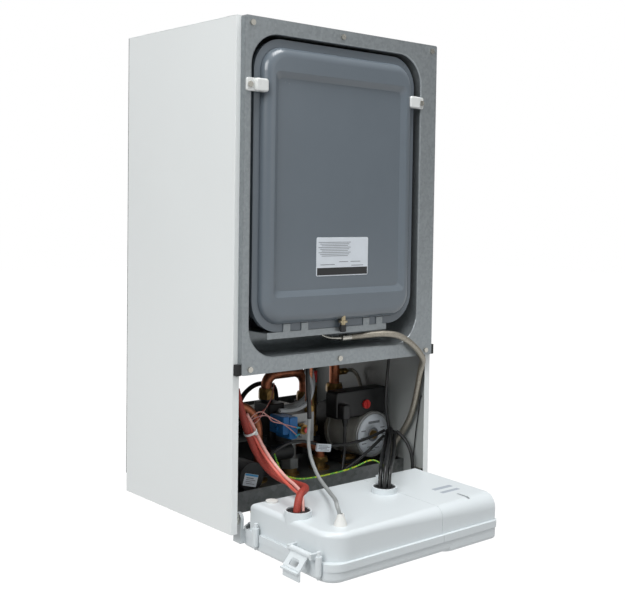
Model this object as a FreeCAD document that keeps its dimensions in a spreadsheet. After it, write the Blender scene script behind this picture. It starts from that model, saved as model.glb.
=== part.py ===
"""Wall-hung gas boiler with its front casing off and its control box folded down.

Cabinet frame used while drawing: X to the right, Y back from the front edges of the side
panels, Z up from the lower edge of the side panels. Every finished piece is then placed so
that the origin lies on the wall plane, midway between the two wall hooks.
The control box is drawn in its own frame, whose X axis is the hinge, and is then tipped.
"""
import FreeCAD
import Part
import Sketcher
import math
import os
import re

V = FreeCAD.Vector
os.makedirs("parts", exist_ok=True)
doc = FreeCAD.newDocument("Boiler")
sheet = doc.addObject("Spreadsheet::Sheet", "Sizes")

SIZES = {
    # Cabinet
    "width": 400, "height": 745, "depth": 307, "hook_height": "=height - 45",
    "hook_spacing": 260, "hook_hole": 5,
    "skin": 1, "frame_sheet": 1.5, "front_flange": 11, "back_flange": 20, "seam": 0.3,
    # Window and rails of the back frame
    "rail_top": 121, "window_top": 236, "window_side": 28,
    # Bottom tray and pipe row
    "tray_front": 58, "tray_floor": 30, "tray_lip": 11, "apron": 21,
    "pipe_row": 125, "pipe_pitch": 65, "pipe_drop": 50, "pipe_reach": 12,
    "wide_thread": 13.2, "small_thread": 10.5, "wide_bore": 9.5, "small_bore": 7,
    "thread_gap": 1,
    # Vessel panel with its dished recess
    "panel_proud": 11.2, "panel_inset": 8, "panel_foot": 232, "recess_centre": -12,
    "recess_half": "=width / 2 - 32", "recess_foot": 255,
    "recess_head": "=height - 22", "recess_corner": 48,
    "recess_floor": 60, "recess_round": 18, "panel_round": 2.5,
    # Expansion vessel
    "vessel_half": "=recess_half - 11", "vessel_foot": "=recess_foot + 37.5",
    "vessel_head": "=recess_head - 7", "vessel_corner": 46,
    "vessel_wall": 1.5, "rim_front": -2, "shell_inset": 9, "ridge_front": -18,
    "shell_round": 15, "face_half": "=vessel_half - 35", "face_foot": "=vessel_foot + 58.5",
    "face_head": "=vessel_head - 54",
    "face_front": -12, "face_slope": 9, "face_corner": 16, "rear_round": 24, "membrane": 1.5,
    "band_out": 2.5, "band_sheet": 1.6, "port_x": -18, "port_y": 24,
    "valve_x": -4, "valve_y": -11.5, "valve_top": "=vessel_foot + 25.5",
    "valve_stem": 4, "cap_round": 5.2,
    "cap_long": 11,
    # Vessel bracket, clips, seals and screws
    "bracket_left": "=13 - vessel_half", "bracket_right": "=vessel_half - 64",
    "bracket_sheet": 1.2, "bracket_skirt": 9.5,
    "hook_wide": 13, "hook_tall": 11, "clip_high": 19, "clip_foot": "=vessel_head - 78", "clip_thick": 4,
    "clip_block": 10, "clip_block_long": 22, "clip_centre": -16, "clip_out": "=recess_half + 7",
    "clip_in": "=vessel_half - 16", "seal_tall": 16, "screw_head": 4.2, "screw_high": 2.4,
    # Vessel hose
    "hose_y": 5.5, "hose_z": "=recess_foot + 16", "nut_flat": 11, "nut_high": 8.5, "link_tube": 2.8,
    "ferrule": 5.8, "ferrule_start": 6.5, "ferrule_long": 18.5, "hose": 5.2,
    "hose_foot_x": "=width / 2 - 13", "hose_foot_y": 73,
    # Combustion side
    "drum_z": 480, "drum_out": 118, "drum_wall": 6, "drum_front": 112, "drum_back": 290,
    "burner_out": 33, "burner_wall": 1.5, "burner_back": 232, "door_thick": 12,
    "fan_x": -40, "fan_z": 302, "fan_out": 50, "fan_front": 66, "fan_deep": 40, "fan_wall": 3,
    "rotor": 36, "rotor_deep": 26, "shaft": 4, "motor_round": 30, "motor_deep": 38,
    "fit_gap": 0.05, "flue_y": 180, "flue_inner": 30,
    "flue_outer": 50, "flue_wall": 2, "socket_rise": 22, "socket_sink": 40,
    "trap_x": 50, "trap_y": 150, "trap_z": 262, "trap_out": 26,
    # Flow side of the bay
    "flow_left": -136, "flow_right": 4, "flow_front": 143, "flow_back": 196,
    "flow_top": 92, "tower_left": -28, "tower_top": 148, "valve_axis_x": -114,
    "valve_axis_z": 57, "servo_out": 23, "servo_front": 70, "servo_back": 108,
    "stem_out": 4, "sensor_out": 13, "sensor_z": 78, "sensor_y": 102,
    # Gas valve
    "gas_left": -16.5, "gas_right": 29, "gas_front": 98, "gas_back": 142,
    "gas_foot": 88, "gas_top": 137, "coil_left": -46, "coil_front": 82, "coil_foot": 101,
    "coil_top": 139, "tuner_x": -6, "tuner_z": 115, "tuner_out": 8, "tuner_reach": 20,
    # Pump and return side
    "pump_x": 150, "pump_z": 85, "can_out": 40, "can_front": 87, "can_back": 165,
    "volute_out": 44, "volute_back": 206, "volute_wall": 4, "port_out": 14,
    "port_back": 186, "port_shift": -4, "port_top": 146, "wheel_out": 30, "wheel_deep": 14,
    "arm_left": 40, "arm_top": 74, "terminal_left": 70, "terminal_right": 186,
    "terminal_back": 116, "terminal_foot": 119, "terminal_top": 165, "knob_x": 135,
    "knob_z": 139, "knob_out": 7.5, "knob_deep": 4, "vent_out": 7, "plug_x": 80,
    "plug_z": 133, "plug_wide": 15, "plug_tall": 26, "plug_front": 72,
    "relief_x": 93, "relief_y": 184, "relief_foot": 74, "relief_top": 168,
    "relief_out": 9, "relief_cap": 9.5, "relief_cap_high": 20,
    # Plate heat exchanger
    "plate_left": -60, "plate_right": 84, "plate_front": 214, "plate_back": 262,
    "plate_foot": 44, "plate_top": 124, "plates": 9, "plate_sheet": 2,
    # Copper pipes
    "pipe": 9, "pipe_bore": 8, "small_pipe": 7, "small_pipe_bore": 6, "pipe_nut": 25,
    "pipe_nut_high": 16, "crossover_y": 175, "crossover_left": -12, "crossover_right": 69,
    "crossover_top": 192,
    # Condensate hose
    "drain": 7, "drain_bore": 5.5,
    # Control box, drawn from its hinge axis
    "hinge_y": 20, "hinge_z": 16, "box_tilt": 1.6, "shell_half": 168, "shell_front": -206,
    "shell_back": 11, "shell_foot": -41, "split": -15.5, "shell_wall": 2.5,
    "shell_corner": 26, "end_corner": 8.5, "foot_round": 7, "cover_half": 165, "cover_front": -203,
    "cover_back": -18, "cover_top": 26, "cover_wall": 2.2, "cover_corner": 36,
    "cover_round": 22, "cover_edge": 8, "lip_half": 170, "lip_front": -208, "lip_back": -14, "lip": 2,
    "lid_left": 48, "lid_gap": 0.4, "left_entry_x": -146, "left_entry_y": -106,
    "right_entry_x": 32, "right_entry_y": -92.5, "entry_out": 19.5, "entry_wall": 2.2,
    "entry_high": 9, "cone_x": -123, "cone_y": -171.5, "cone_foot": 9.6,
    "cone_head": 4.2, "cone_high": 16, "post_x": 172.2, "post_out": 4.6, "post_pin": 2.6,
    "post_foot": -30, "post_top": -4, "pin_top": 3, "post_front": -186, "post_rear": -42,
    "ear_out": 9, "ear_in": 170, "ear_thick": 5.5, "hinge_pin": 3, "bracket_gap": 2,
    "board_half": 140, "board_front": -190, "board_back": -34, "board_z": -20,
    "board_thick": 1.6, "board_post": 4, "dial_x": -112, "second_dial_x": -66,
    "dial_y": -100, "dial_out": 17, "dial_high": 9, "dial_shaft": 3.5, "screen_left": -30,
    "screen_wide": 62, "screen_y": -100, "screen_deep": 34, "screen_thick": 2,
    "flap_left": 45.6, "flap_proud": 0.4, "flap_deep": 169, "flap_thick": 2.5,
    # Control box latch
    "latch_y": -152, "latch_wide": 44, "latch_x": -175.5, "latch_z": -6, "latch_pin": 2,
    "latch_out": 4.2, "latch_long": 25, "latch_half_thick": 1.5, "latch_lean": 38,
    # Cables
    "bundle": 6, "side_lead": 2.4, "black_strand": 3.2, "strand_pitch": 6.8, "black_cable": 2.6,
    "branch_cable": 3, "grey_cable": 2.9, "earth_lead": 1.3, "loop_hose": 4,
}


def fill_sheet():
    """Write every driving size, a plain number or a formula, with its alias."""
    for row, (alias, value) in enumerate(SIZES.items(), start=1):
        sheet.set(f"A{row}", alias)
        sheet.set(f"B{row}", str(value))
        sheet.setAlias(f"B{row}", alias)
    doc.recompute()


fill_sheet()
ALIAS = re.compile(r"\b(" + "|".join(sorted(SIZES, key=len, reverse=True)) + r")\b")


def linked(text):
    """Turn a formula in plain size names into one that names the sheet's cells."""
    return ALIAS.sub(r"Sizes.\1", str(text))


def number(text):
    """The value of a formula, read from the sheet."""
    return float(sheet.evalExpression(linked(text)))


def bind(thing, prop, text):
    thing.setExpression(prop, linked(text))


def at(thing, x="0", y="0", z="0"):
    """Tie the position of an object to three formulas."""
    for letter, text in zip("xyz", (x, y, z)):
        bind(thing, "Placement.Base." + letter, text)


AXIS_TURN = {
    "z": FreeCAD.Rotation(),
    "y": FreeCAD.Rotation(V(1, 0, 0), -90),
    "x": FreeCAD.Rotation(V(0, 1, 0), 90),
}
FACE_TURN = {
    "up": FreeCAD.Rotation(),
    "down": FreeCAD.Rotation(V(1, 0, 0), 180),
    "front": FreeCAD.Rotation(V(1, 0, 0), 90),
    "back": FreeCAD.Rotation(V(0, 0, 1), 180) * FreeCAD.Rotation(V(1, 0, 0), 90),
}
finished = []


def named(stem):
    """A document name that is not taken yet."""
    count = sum(1 for thing in doc.Objects if thing.Name.startswith(stem))
    return stem if count == 0 else f"{stem}_{count}"


def span(x0, x1, y0, y1, z0, z1):
    """A square block between two formulas on each axis."""
    thing = doc.addObject("Part::Box", named("span"))
    at(thing, x0, y0, z0)
    bind(thing, "Length", f"({x1}) - ({x0})")
    bind(thing, "Width", f"({y1}) - ({y0})")
    bind(thing, "Height", f"({z1}) - ({z0})")
    return thing


def rod(axis, x, y, z, radius, length):
    """A round bar that starts at a point and runs along an axis."""
    thing = doc.addObject("Part::Cylinder", named("rod"))
    thing.Placement.Rotation = AXIS_TURN[axis]
    at(thing, x, y, z)
    bind(thing, "Radius", radius)
    bind(thing, "Height", length)
    return thing


def cone(axis, x, y, z, foot, head, length):
    """A tapered round bar."""
    thing = doc.addObject("Part::Cone", named("cone"))
    thing.Placement.Rotation = AXIS_TURN[axis]
    at(thing, x, y, z)
    bind(thing, "Radius1", foot)
    bind(thing, "Radius2", head)
    bind(thing, "Height", length)
    return thing


def hexagon(axis, x, y, z, flats, length):
    """A six-sided bar, sized across its flats."""
    thing = doc.addObject("Part::Prism", named("hexagon"))
    thing.Polygon = 6
    thing.Placement.Rotation = AXIS_TURN[axis]
    at(thing, x, y, z)
    bind(thing, "Circumradius", f"({flats}) / sqrt(3)")
    bind(thing, "Height", length)
    return thing


def joined(*pieces):
    thing = doc.addObject("Part::MultiFuse", named("joined"))
    thing.Shapes = list(pieces)
    return thing


def grouped(*pieces):
    """Separate solids that share one node."""
    thing = doc.addObject("Part::Compound", named("grouped"))
    thing.Links = list(pieces)
    return thing


def cut(base, *tools):
    thing = doc.addObject("Part::Cut", named("cut"))
    thing.Base = base
    thing.Tool = tools[0] if len(tools) == 1 else joined(*tools)
    return thing


def shared(first, second):
    thing = doc.addObject("Part::Common", named("shared"))
    thing.Base = first
    thing.Tool = second
    return thing


def mirrored(piece):
    """The same piece on the other side of the middle plane."""
    thing = doc.addObject("Part::Mirroring", named("mirrored"))
    thing.Source = piece
    thing.Normal = V(1, 0, 0)
    return thing


def origin_plane(body, role):
    return next(plane for plane in body.Origin.OriginFeatures if plane.Role == role)


def outline(body, points, role="XY_Plane"):
    """A closed sketch whose corners are all tied to formulas."""
    sketch = body.newObject("Sketcher::SketchObject", named("outline"))
    sketch.AttachmentSupport = [(origin_plane(body, role), "")]
    sketch.MapMode = "FlatFace"
    places = [(number(x), number(y)) for x, y in points]
    last = len(places) - 1
    for index, (x, y) in enumerate(places):
        x2, y2 = places[0 if index == last else index + 1]
        sketch.addGeometry(Part.LineSegment(V(x, y, 0), V(x2, y2, 0)), False)
    for index in range(len(places)):
        following = 0 if index == last else index + 1
        sketch.addConstraint(Sketcher.Constraint("Coincident", index, 2, following, 1))
    for index, ((x, y), texts) in enumerate(zip(places, points)):
        for kind, value, text in (("DistanceX", x, texts[0]), ("DistanceY", y, texts[1])):
            label = f"{kind[-1].lower()}_of_{index}"
            made = sketch.addConstraint(Sketcher.Constraint(kind, -1, 1, index, 1, value))
            sketch.renameConstraint(made, label)
            bind(sketch, "Constraints." + label, text)
    return sketch


def padded(body, sketch, length):
    pad = body.newObject("PartDesign::Pad", named("pad"))
    pad.Profile = sketch
    bind(pad, "Length", length)
    doc.recompute()
    return pad


def rounded(body, feature, edges, radius):
    fillet = body.newObject("PartDesign::Fillet", named("fillet"))
    fillet.Base = (feature, edges)
    bind(fillet, "Radius", radius)
    doc.recompute()
    return fillet


def edges_where(feature, test):
    return [f"Edge{index}" for index, edge in enumerate(feature.Shape.Edges, start=1)
            if test([vertex.Point for vertex in edge.Vertexes])]


def tub(face, x, y, z, half_x, half_y, high, corner, crown="0", lean="0",
        end_corner=None):
    """A block with rounded corners that grows from a point towards one side.

    Its walls may lean inwards by an angle, its far rim may be rounded, and the
    corners at its right end may have a radius of their own.
    """
    body = doc.addObject("PartDesign::Body", named("tub"))
    corners = [(f"-({half_x})", f"-({half_y})"), (half_x, f"-({half_y})"),
               (half_x, half_y), (f"-({half_x})", half_y)]
    shape = padded(body, outline(body, corners), high)
    bind(shape, "TaperAngle", f"-({lean})")
    doc.recompute()
    top = number(high)
    if number(corner) > 0:
        for side, size in ((-1, corner), (1, end_corner or corner)):
            upright = edges_where(shape, lambda ends: abs(ends[0].z - ends[-1].z) > top / 2
                                  and ends[0].x * side > 0)
            shape = rounded(body, shape, upright, size)
    if number(crown) > 0:
        rim = edges_where(shape, lambda ends: all(abs(end.z - top) < 1e-6 for end in ends))
        rounded(body, shape, rim, crown)
    body.Placement.Rotation = FACE_TURN[face]
    at(body, x, y, z)
    return body


def turned(axis, x, y, z, profile):
    """A solid of revolution from a profile of radius and height formulas."""
    body = doc.addObject("PartDesign::Body", named("turned"))
    sketch = outline(body, profile, "XZ_Plane")
    made = body.newObject("PartDesign::Revolution", named("revolution"))
    made.Profile = sketch
    made.ReferenceAxis = (sketch, ["V_Axis"])
    made.Angle = 360
    doc.recompute()
    body.Placement.Rotation = AXIS_TURN[axis]
    at(body, x, y, z)
    return body


def tuned_run(points):
    """Straight runs joined by tangent arcs, each as large as its two runs allow."""
    edges = []
    radii = []
    start = points[0]
    for before, here, after in zip(points, points[1:], points[2:]):
        inward = here - before
        outward = after - here
        shorter = min(inward.Length, outward.Length)
        half = inward.getAngle(outward) / 2
        radius = 0.45 * shorter / math.tan(half)
        radii.append(radius)
        step = radius * math.tan(half)
        inward.normalize()
        outward.normalize()
        enter = here - inward * step
        leave = here + outward * step
        middle_way = (outward - inward)
        middle_way.normalize()
        centre = here + middle_way * (radius / math.cos(half))
        middle = centre - middle_way * radius
        edges.append(Part.LineSegment(start, enter).toShape())
        edges.append(Part.Arc(enter, middle, leave).toShape())
        start = leave
    edges.append(Part.LineSegment(start, points[-1]).toShape())
    return Part.Wire(edges), radii


def swept(points, radius):
    """A round tube along a route, checked against its section times its length."""
    path, radii = tuned_run(points)
    heading = points[1] - points[0]
    ring = Part.Wire(Part.Circle(points[0], heading, radius).toShape())
    pipe = Part.BRepOffsetAPI.MakePipeShell(path)
    pipe.add(ring)
    pipe.build()
    pipe.makeSolid()
    solid = pipe.shape()
    expected = math.pi * radius ** 2 * path.Length
    return solid, path.Length, min(radii, default=0), solid.Volume / expected


def route_piece(label, strands):
    """Cables or pipes along routes: each strand gives its points, radius and bore."""
    solids = []
    for points, radius, bore in strands:
        outer, length, tightest, share = swept(points, radius)
        if bore:
            inner = swept(points, bore)[0]
            outer = outer.cut(inner)
            outer = outer.Solids[0]
        solids.append(outer)
        print(f"{label}: length {length:.0f} mm, tightest radius {tightest:.1f} mm, "
              f"volume over section times length {share:.4f}")
    thing = doc.addObject("Part::Feature", label)
    thing.Shape = solids[0] if len(solids) == 1 else Part.makeCompound(solids)
    return thing


def finish(label, thing, home="cabinet"):
    """Give a sub-part its name and its place in the row's own frame."""
    if home == "cabinet":
        shift = ("0", "-depth", "-hook_height")
    else:
        shift = ("0", "hinge_y - depth", "hinge_z - hook_height")
    if thing.TypeId != "Part::Feature" and thing.TypeId in (
            "PartDesign::Body", "Part::Box", "Part::Cylinder", "Part::Cone", "Part::Prism"):
        thing = joined_alone(thing)
    thing.Label = label
    if home == "box":
        thing.Placement = FreeCAD.Placement(V(0, 0, 0), FreeCAD.Rotation(V(1, 0, 0), 1))
        bind(thing, "Placement.Rotation.Angle", "box_tilt")
    at(thing, *shift)
    finished.append(thing)
    return thing


def joined_alone(piece):
    """Carry one piece in a holder, so that its own place stays as drawn."""
    return grouped(piece)


def route(*points):
    """Points in the cabinet frame from formulas or plain numbers."""
    return [V(*(number(value) for value in point)) for point in points]


def from_box(x, y, z):
    """A point of the control box, at rest, in the cabinet frame."""
    angle = math.radians(number("box_tilt"))
    across, up = number(y), number(z)
    return (number(x),
            number("hinge_y") + across * math.cos(angle) - up * math.sin(angle),
            number("hinge_z") + across * math.sin(angle) + up * math.cos(angle))


# Cabinet

def side_panel():
    """Folded sheet: outer wall, front return and back return."""
    body = doc.addObject("PartDesign::Body", "panel_fold")
    out = "-width / 2"
    back = "depth - frame_sheet"
    corners = [
        (out, "0"), (f"{out} + front_flange", "0"), (f"{out} + front_flange", "skin"),
        (f"{out} + skin", "skin"), (f"{out} + skin", f"{back} - skin"),
        (f"{out} + back_flange", f"{back} - skin"), (f"{out} + back_flange", back),
        (out, back)]
    padded(body, outline(body, corners), "height - skin")
    return body


def cabinet():
    left = side_panel()
    finish("left_side_panel", grouped(left))
    finish("right_side_panel", mirrored(left))

    plate = span("-width / 2", "width / 2", "depth - frame_sheet", "depth",
                 "tray_floor", "height - skin")
    window = tub("back", "0", "depth - 5", "(rail_top + window_top) / 2",
                 "width / 2 - window_side", "(window_top - rail_top) / 2", "10", "12")
    holes = []
    for side in ("-", ""):
        x = f"{side}hook_spacing / 2"
        holes.append(rod("y", x, "depth - 5", "hook_height", "hook_hole", "10"))
    finish("back_frame", cut(plate, window, *holes))

    roof = span("-width / 2", "width / 2", "0", "depth", "height - skin", "height")
    lip = span("-width / 2 + front_flange + seam", "width / 2 - front_flange - seam",
               "0", "skin", "height - 16", "height")
    opening = rod("z", "0", "flue_y", "height - 10", "flue_outer + seam", "20")
    finish("top_panel", cut(joined(roof, lip), opening))

    side = "width / 2 - skin"
    outer = span(f"-({side})", side, "tray_front", "depth - frame_sheet",
                 "tray_floor", "tray_floor + tray_lip")
    apron = span(f"-({side})", side, "tray_front", "tray_front + frame_sheet",
                 "tray_floor - apron", "tray_floor + 5")
    inner = span(f"-({side}) + frame_sheet", f"{side} - frame_sheet",
                 "tray_front + frame_sheet", "depth - 2 * frame_sheet",
                 "tray_floor + frame_sheet", "tray_floor + tray_lip + 5")
    flange_slots = [
        span("-width / 2", "-width / 2 + back_flange + seam", "depth - frame_sheet - skin",
             "depth", "0", "height"),
        span("width / 2 - back_flange - seam", "width / 2", "depth - frame_sheet - skin",
             "depth", "0", "height")]
    holes = [rod("z", f"{step} * pipe_pitch", "pipe_row", "tray_floor - 5",
                 "wide_thread + thread_gap", "20") for step in (-2, -1, 0, 1, 2)]
    finish("bottom_tray", cut(joined(outer, apron), inner, *flange_slots, *holes))


def nipples():
    """Five threaded tails under the tray, each with the lock nut that seats it."""
    tails = []
    for step in (-2, -1, 0, 1, 2):
        small = step in (-1, 1)
        out, bore = ("small_thread", "small_bore") if small else ("wide_thread", "wide_bore")
        x = f"{step} * pipe_pitch"
        foot = "tray_floor - pipe_drop"
        tail = rod("z", x, "pipe_row", foot, out, "pipe_drop + frame_sheet + pipe_reach")
        washer = rod("z", x, "pipe_row", "tray_floor + frame_sheet",
                     "wide_thread + 4", "pipe_reach / 4")
        tails.append(cut(joined(tail, washer),
                         rod("z", x, "pipe_row", f"{foot} - 1", bore,
                             "pipe_drop + pipe_reach + 10")))
    finish("bottom_nipples", grouped(*tails))


def vessel_panel():
    """Galvanised front sheet with a dished recess for the expansion vessel."""
    half_x = "width / 2 - panel_inset"
    centre_z = "(panel_foot + height) / 2"
    half_z = "(height - panel_foot) / 2"
    recess_z = "(recess_foot + recess_head) / 2"
    recess_half_z = "(recess_head - recess_foot) / 2"
    face = tub("front", "0", "0", centre_z, half_x, half_z, "panel_proud", "3")
    behind = tub("front", "0", "1", centre_z, f"{half_x} - frame_sheet",
                 f"{half_z} - frame_sheet", "panel_proud - frame_sheet + 1", "2")
    dish = tub("back", "recess_centre", "-panel_proud + 0.5", recess_z,
               "recess_half + frame_sheet", f"{recess_half_z} + frame_sheet",
               "panel_proud - 0.5 + recess_floor + frame_sheet",
               "recess_corner + frame_sheet", "recess_round + frame_sheet")
    hollow = tub("back", "recess_centre", "-panel_proud - 1", recess_z, "recess_half",
                 recess_half_z, "panel_proud + recess_floor + 1", "recess_corner",
                 "recess_round")
    pressed = cut(joined(cut(face, behind), dish), hollow)
    doc.recompute()
    front = -number("panel_proud")
    reach = number("recess_half") + 1
    middle = number("recess_centre")
    lip = [index for index, edge in enumerate(pressed.Shape.Edges, start=1)
           if all(abs(vertex.Y - front) < 1e-6 and abs(vertex.X - middle) < reach
                  for vertex in edge.Vertexes)]
    eased = doc.addObject("Part::Fillet", named("eased"))
    eased.Base = pressed
    eased.Edges = [(index, number("panel_round"), number("panel_round")) for index in lip]
    doc.recompute()
    finish("vessel_panel", eased)


def seals_and_screws():
    blocks = []
    for side in ("-", ""):
        inner = f"{side}(width / 2 - panel_inset + seam)"
        outer = f"{side}(width / 2 - 1)"
        low, high = (outer, inner) if side else (inner, outer)
        blocks.append(span(low, high, "-panel_proud + 2", "0", "panel_foot",
                           "panel_foot + seal_tall"))
    finish("edge_seals", grouped(*blocks))

    heads = []
    face = "-panel_proud - screw_high"
    spots = [("recess_centre", "height - 10"), ("recess_centre + 3", "panel_foot + 10"),
             ("-width / 2 + 22", "panel_foot + 8"), ("width / 2 - 20", "height - 10"),
             ("width / 2 - 22", "panel_foot + 8"), ("-width / 2 + 20", "height - 10")]
    for x, z in spots:
        heads.append(rod("y", x, face, z, "screw_head", "screw_high"))
    for side in ("-", ""):
        x = f"clip_centre {side or '+'} (clip_out - 5)"
        heads.append(rod("y", x, f"-panel_proud - clip_thick - screw_high",
                         "clip_foot + clip_high / 2", "screw_head", "screw_high"))
    finish("panel_screws", grouped(*heads))


def vessel_clips():
    """White plastic clips: a screwed pad and a thicker finger on the vessel's shoulder."""
    mid = "rim_front + vessel_wall"
    shoulder_space = vessel_block("front", mid, "shell_inset - seam",
                                  f"{mid} - ridge_front + seam", "shell_round")
    clips = []
    for side in ("-", "+"):
        near = f"clip_centre {side} clip_in"
        far = f"clip_centre {side} clip_out"
        shoulder = f"clip_centre {side} (clip_in + clip_block_long)"
        low, high = (far, near) if side == "-" else (near, far)
        bar = tub("front", f"({low} + {high}) / 2", "-panel_proud",
                  "clip_foot + clip_high / 2", "(clip_out - clip_in) / 2", "clip_high / 2",
                  "clip_thick", "3", "1")
        first, second = (shoulder, near) if side == "-" else (near, shoulder)
        block = tub("front", f"({first} + {second}) / 2", "-panel_proud - 1",
                    "clip_foot + clip_high / 2", "clip_block_long / 2", "clip_high / 2",
                    "clip_block - 1", "4", "2.5")
        heel = f"recess_centre {side} (vessel_half - 2)"
        toe = f"recess_centre {side} (vessel_half - shell_inset + 2)"
        first, second = (heel, toe) if side == "-" else (toe, heel)
        leg = span(first, second, "-panel_proud - 1",
                   "rim_front - band_sheet - seam", "clip_foot + 3",
                   "clip_foot + clip_high - 3")
        clips.append(cut(joined(bar, block, leg), shoulder_space))
    finish("vessel_clips", grouped(*clips))


# Expansion vessel

VESSEL_Z = "(vessel_foot + vessel_head) / 2"
VESSEL_HALF_Z = "(vessel_head - vessel_foot) / 2"


def vessel_block(face, from_y, inset, high, crown="0"):
    """A vessel-shaped block, drawn in by an inset from the rim."""
    return tub(face, "recess_centre", from_y, VESSEL_Z, f"vessel_half - ({inset})",
               f"{VESSEL_HALF_Z} - ({inset})", high, f"vessel_corner - ({inset})", crown)


def vessel():
    face_z = "(face_foot + face_head) / 2"
    face_half_z = "(face_head - face_foot) / 2"
    mid = "rim_front + vessel_wall"
    front_high = f"{mid} - ridge_front"
    dome = vessel_block("front", mid, "shell_inset", front_high, "shell_round")
    flange = vessel_block("front", mid, "0", "vessel_wall")
    slope = "atan(face_slope / (face_front - ridge_front))"
    spread = "face_slope * (1 + 1 / (face_front - ridge_front))"
    sunk = tub("back", "recess_centre", "ridge_front - 1", face_z, f"face_half + {spread}",
               f"{face_half_z} + {spread}", "face_front - ridge_front + 1", "face_corner",
               "0", slope)
    inside = vessel_block("front", f"{mid} + 1", "shell_inset + vessel_wall",
                          f"{front_high} - vessel_wall + 1", "shell_round - vessel_wall")
    boss = tub("back", "recess_centre", "ridge_front - 1", face_z,
               f"face_half + {spread} + 2 * vessel_wall",
               f"{face_half_z} + {spread} + 2 * vessel_wall",
               "face_front - ridge_front + 1 + vessel_wall", "face_corner + vessel_wall",
               "0", slope)
    stem_hole = rod("z", "valve_x", "valve_y", "valve_top - 40", "valve_stem", "60")
    finish("vessel_front_shell",
           cut(joined(dome, flange), sunk, cut(inside, boss), stem_hole))

    start = f"{mid} + membrane"
    rear_high = f"recess_floor - ({start})"
    back_dome = vessel_block("back", start, "shell_inset", rear_high, "rear_round")
    back_flange = vessel_block("back", start, "0", "vessel_wall")
    back_inside = vessel_block("back", f"{start} - 1", "shell_inset + vessel_wall",
                               f"{rear_high} - vessel_wall + 1", "rear_round - vessel_wall")
    port_hole = rod("z", "port_x", "port_y", "vessel_foot", "link_tube", "40")
    finish("vessel_rear_shell", cut(joined(back_dome, back_flange), back_inside, port_hole))

    sheet_flat = vessel_block("back", mid, "0", "membrane")
    pouch = vessel_block("back", mid, "shell_inset + vessel_wall + 2", "22", "10")
    pouch_inside = vessel_block("back", f"{mid} - 1", "shell_inset + vessel_wall + 3.5",
                                "22 + 1 - membrane", "8.5")
    finish("vessel_diaphragm", cut(joined(sheet_flat, pouch), pouch_inside))

    stack = "2 * vessel_wall + membrane"
    band = vessel_block("back", "rim_front - band_sheet", "-band_out",
                        f"{stack} + 2 * band_sheet")
    channel = vessel_block("back", "rim_front", "-(band_out - band_sheet)", stack)
    through = vessel_block("back", "rim_front - 10", "shell_inset - seam", "40")
    finish("vessel_clamp_band", cut(band, channel, through))

    stem = rod("z", "valve_x", "valve_y", "valve_top - 24", "valve_stem", "30")
    collar = rod("z", "valve_x", "valve_y", "valve_top - 20.5", "valve_stem + 3", "3")
    finish("vessel_charging_valve", joined(stem, collar))
    cap = turned("z", "valve_x", "valve_y", "valve_top - 24 - cap_long", [
        ("0", "0"), ("cap_round - 1", "0"), ("cap_round", "1"), ("cap_round", "cap_long"),
        ("0", "cap_long")])
    finish("vessel_valve_cap", grouped(cap))


def vessel_bracket():
    """Galvanised angle under the vessel, with four hooks over its rim."""
    top = "vessel_foot - band_out - seam"
    front = "rim_front - band_sheet - seam"
    shelf = span("bracket_left", "bracket_right", f"{front} - bracket_sheet",
                 "recess_floor", f"{top} - bracket_sheet", top)
    skirt = span("bracket_left", "bracket_right", f"{front} - bracket_sheet", front,
                 f"{top} - bracket_skirt", top)
    hooks = []
    for x in ("bracket_left + 36", "bracket_left + 70", "bracket_right - 43",
              "bracket_right - 15"):
        hooks.append(span(f"{x} - hook_wide / 2", f"{x} + hook_wide / 2",
                          f"{front} - bracket_sheet", front, top, f"{top} + hook_tall"))
    slot = rod("z", "port_x", "port_y", f"{top} - 10", "nut_flat / 1.6", "20")
    finish("vessel_support_bracket", cut(joined(shelf, skirt, *hooks), slot))


def vessel_fitting():
    """Union nut, bent tube and crimp sleeve of the vessel hose, and its tray nipple."""
    nut_foot = "vessel_foot + shell_inset - nut_high - 10"
    neck = rod("z", "port_x", "port_y", nut_foot, "link_tube", "nut_high + 12")
    nut = hexagon("z", "port_x", "port_y", nut_foot, "nut_flat", "nut_high")
    upper = joined(neck, nut)
    foot = number(nut_foot)
    bend = route_piece("bend", [(
        [V(number("port_x"), number("port_y"), foot + 4),
         V(number("port_x"), number("port_y"), foot - 7),
         V(number("port_x") + 10, number("port_y") - 9, number("hose_z")),
         V(number("ferrule_start") + 0.5, number("hose_y"), number("hose_z"))],
        number("link_tube"), 0)])
    doc.recompute()
    return upper, bend


# Combustion side, behind the vessel panel

def tail_spaces():
    """Room that the five tails and their washers take up."""
    spaces = []
    for step in (-2, -1, 0, 1, 2):
        out = "small_thread" if step in (-1, 1) else "wide_thread"
        x = f"{step} * pipe_pitch"
        spaces.append(rod("z", x, "pipe_row", "tray_floor", out, "frame_sheet + pipe_reach"))
        spaces.append(rod("z", x, "pipe_row", "tray_floor", "wide_thread + 4",
                          "frame_sheet + pipe_reach / 4"))
    return spaces


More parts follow.
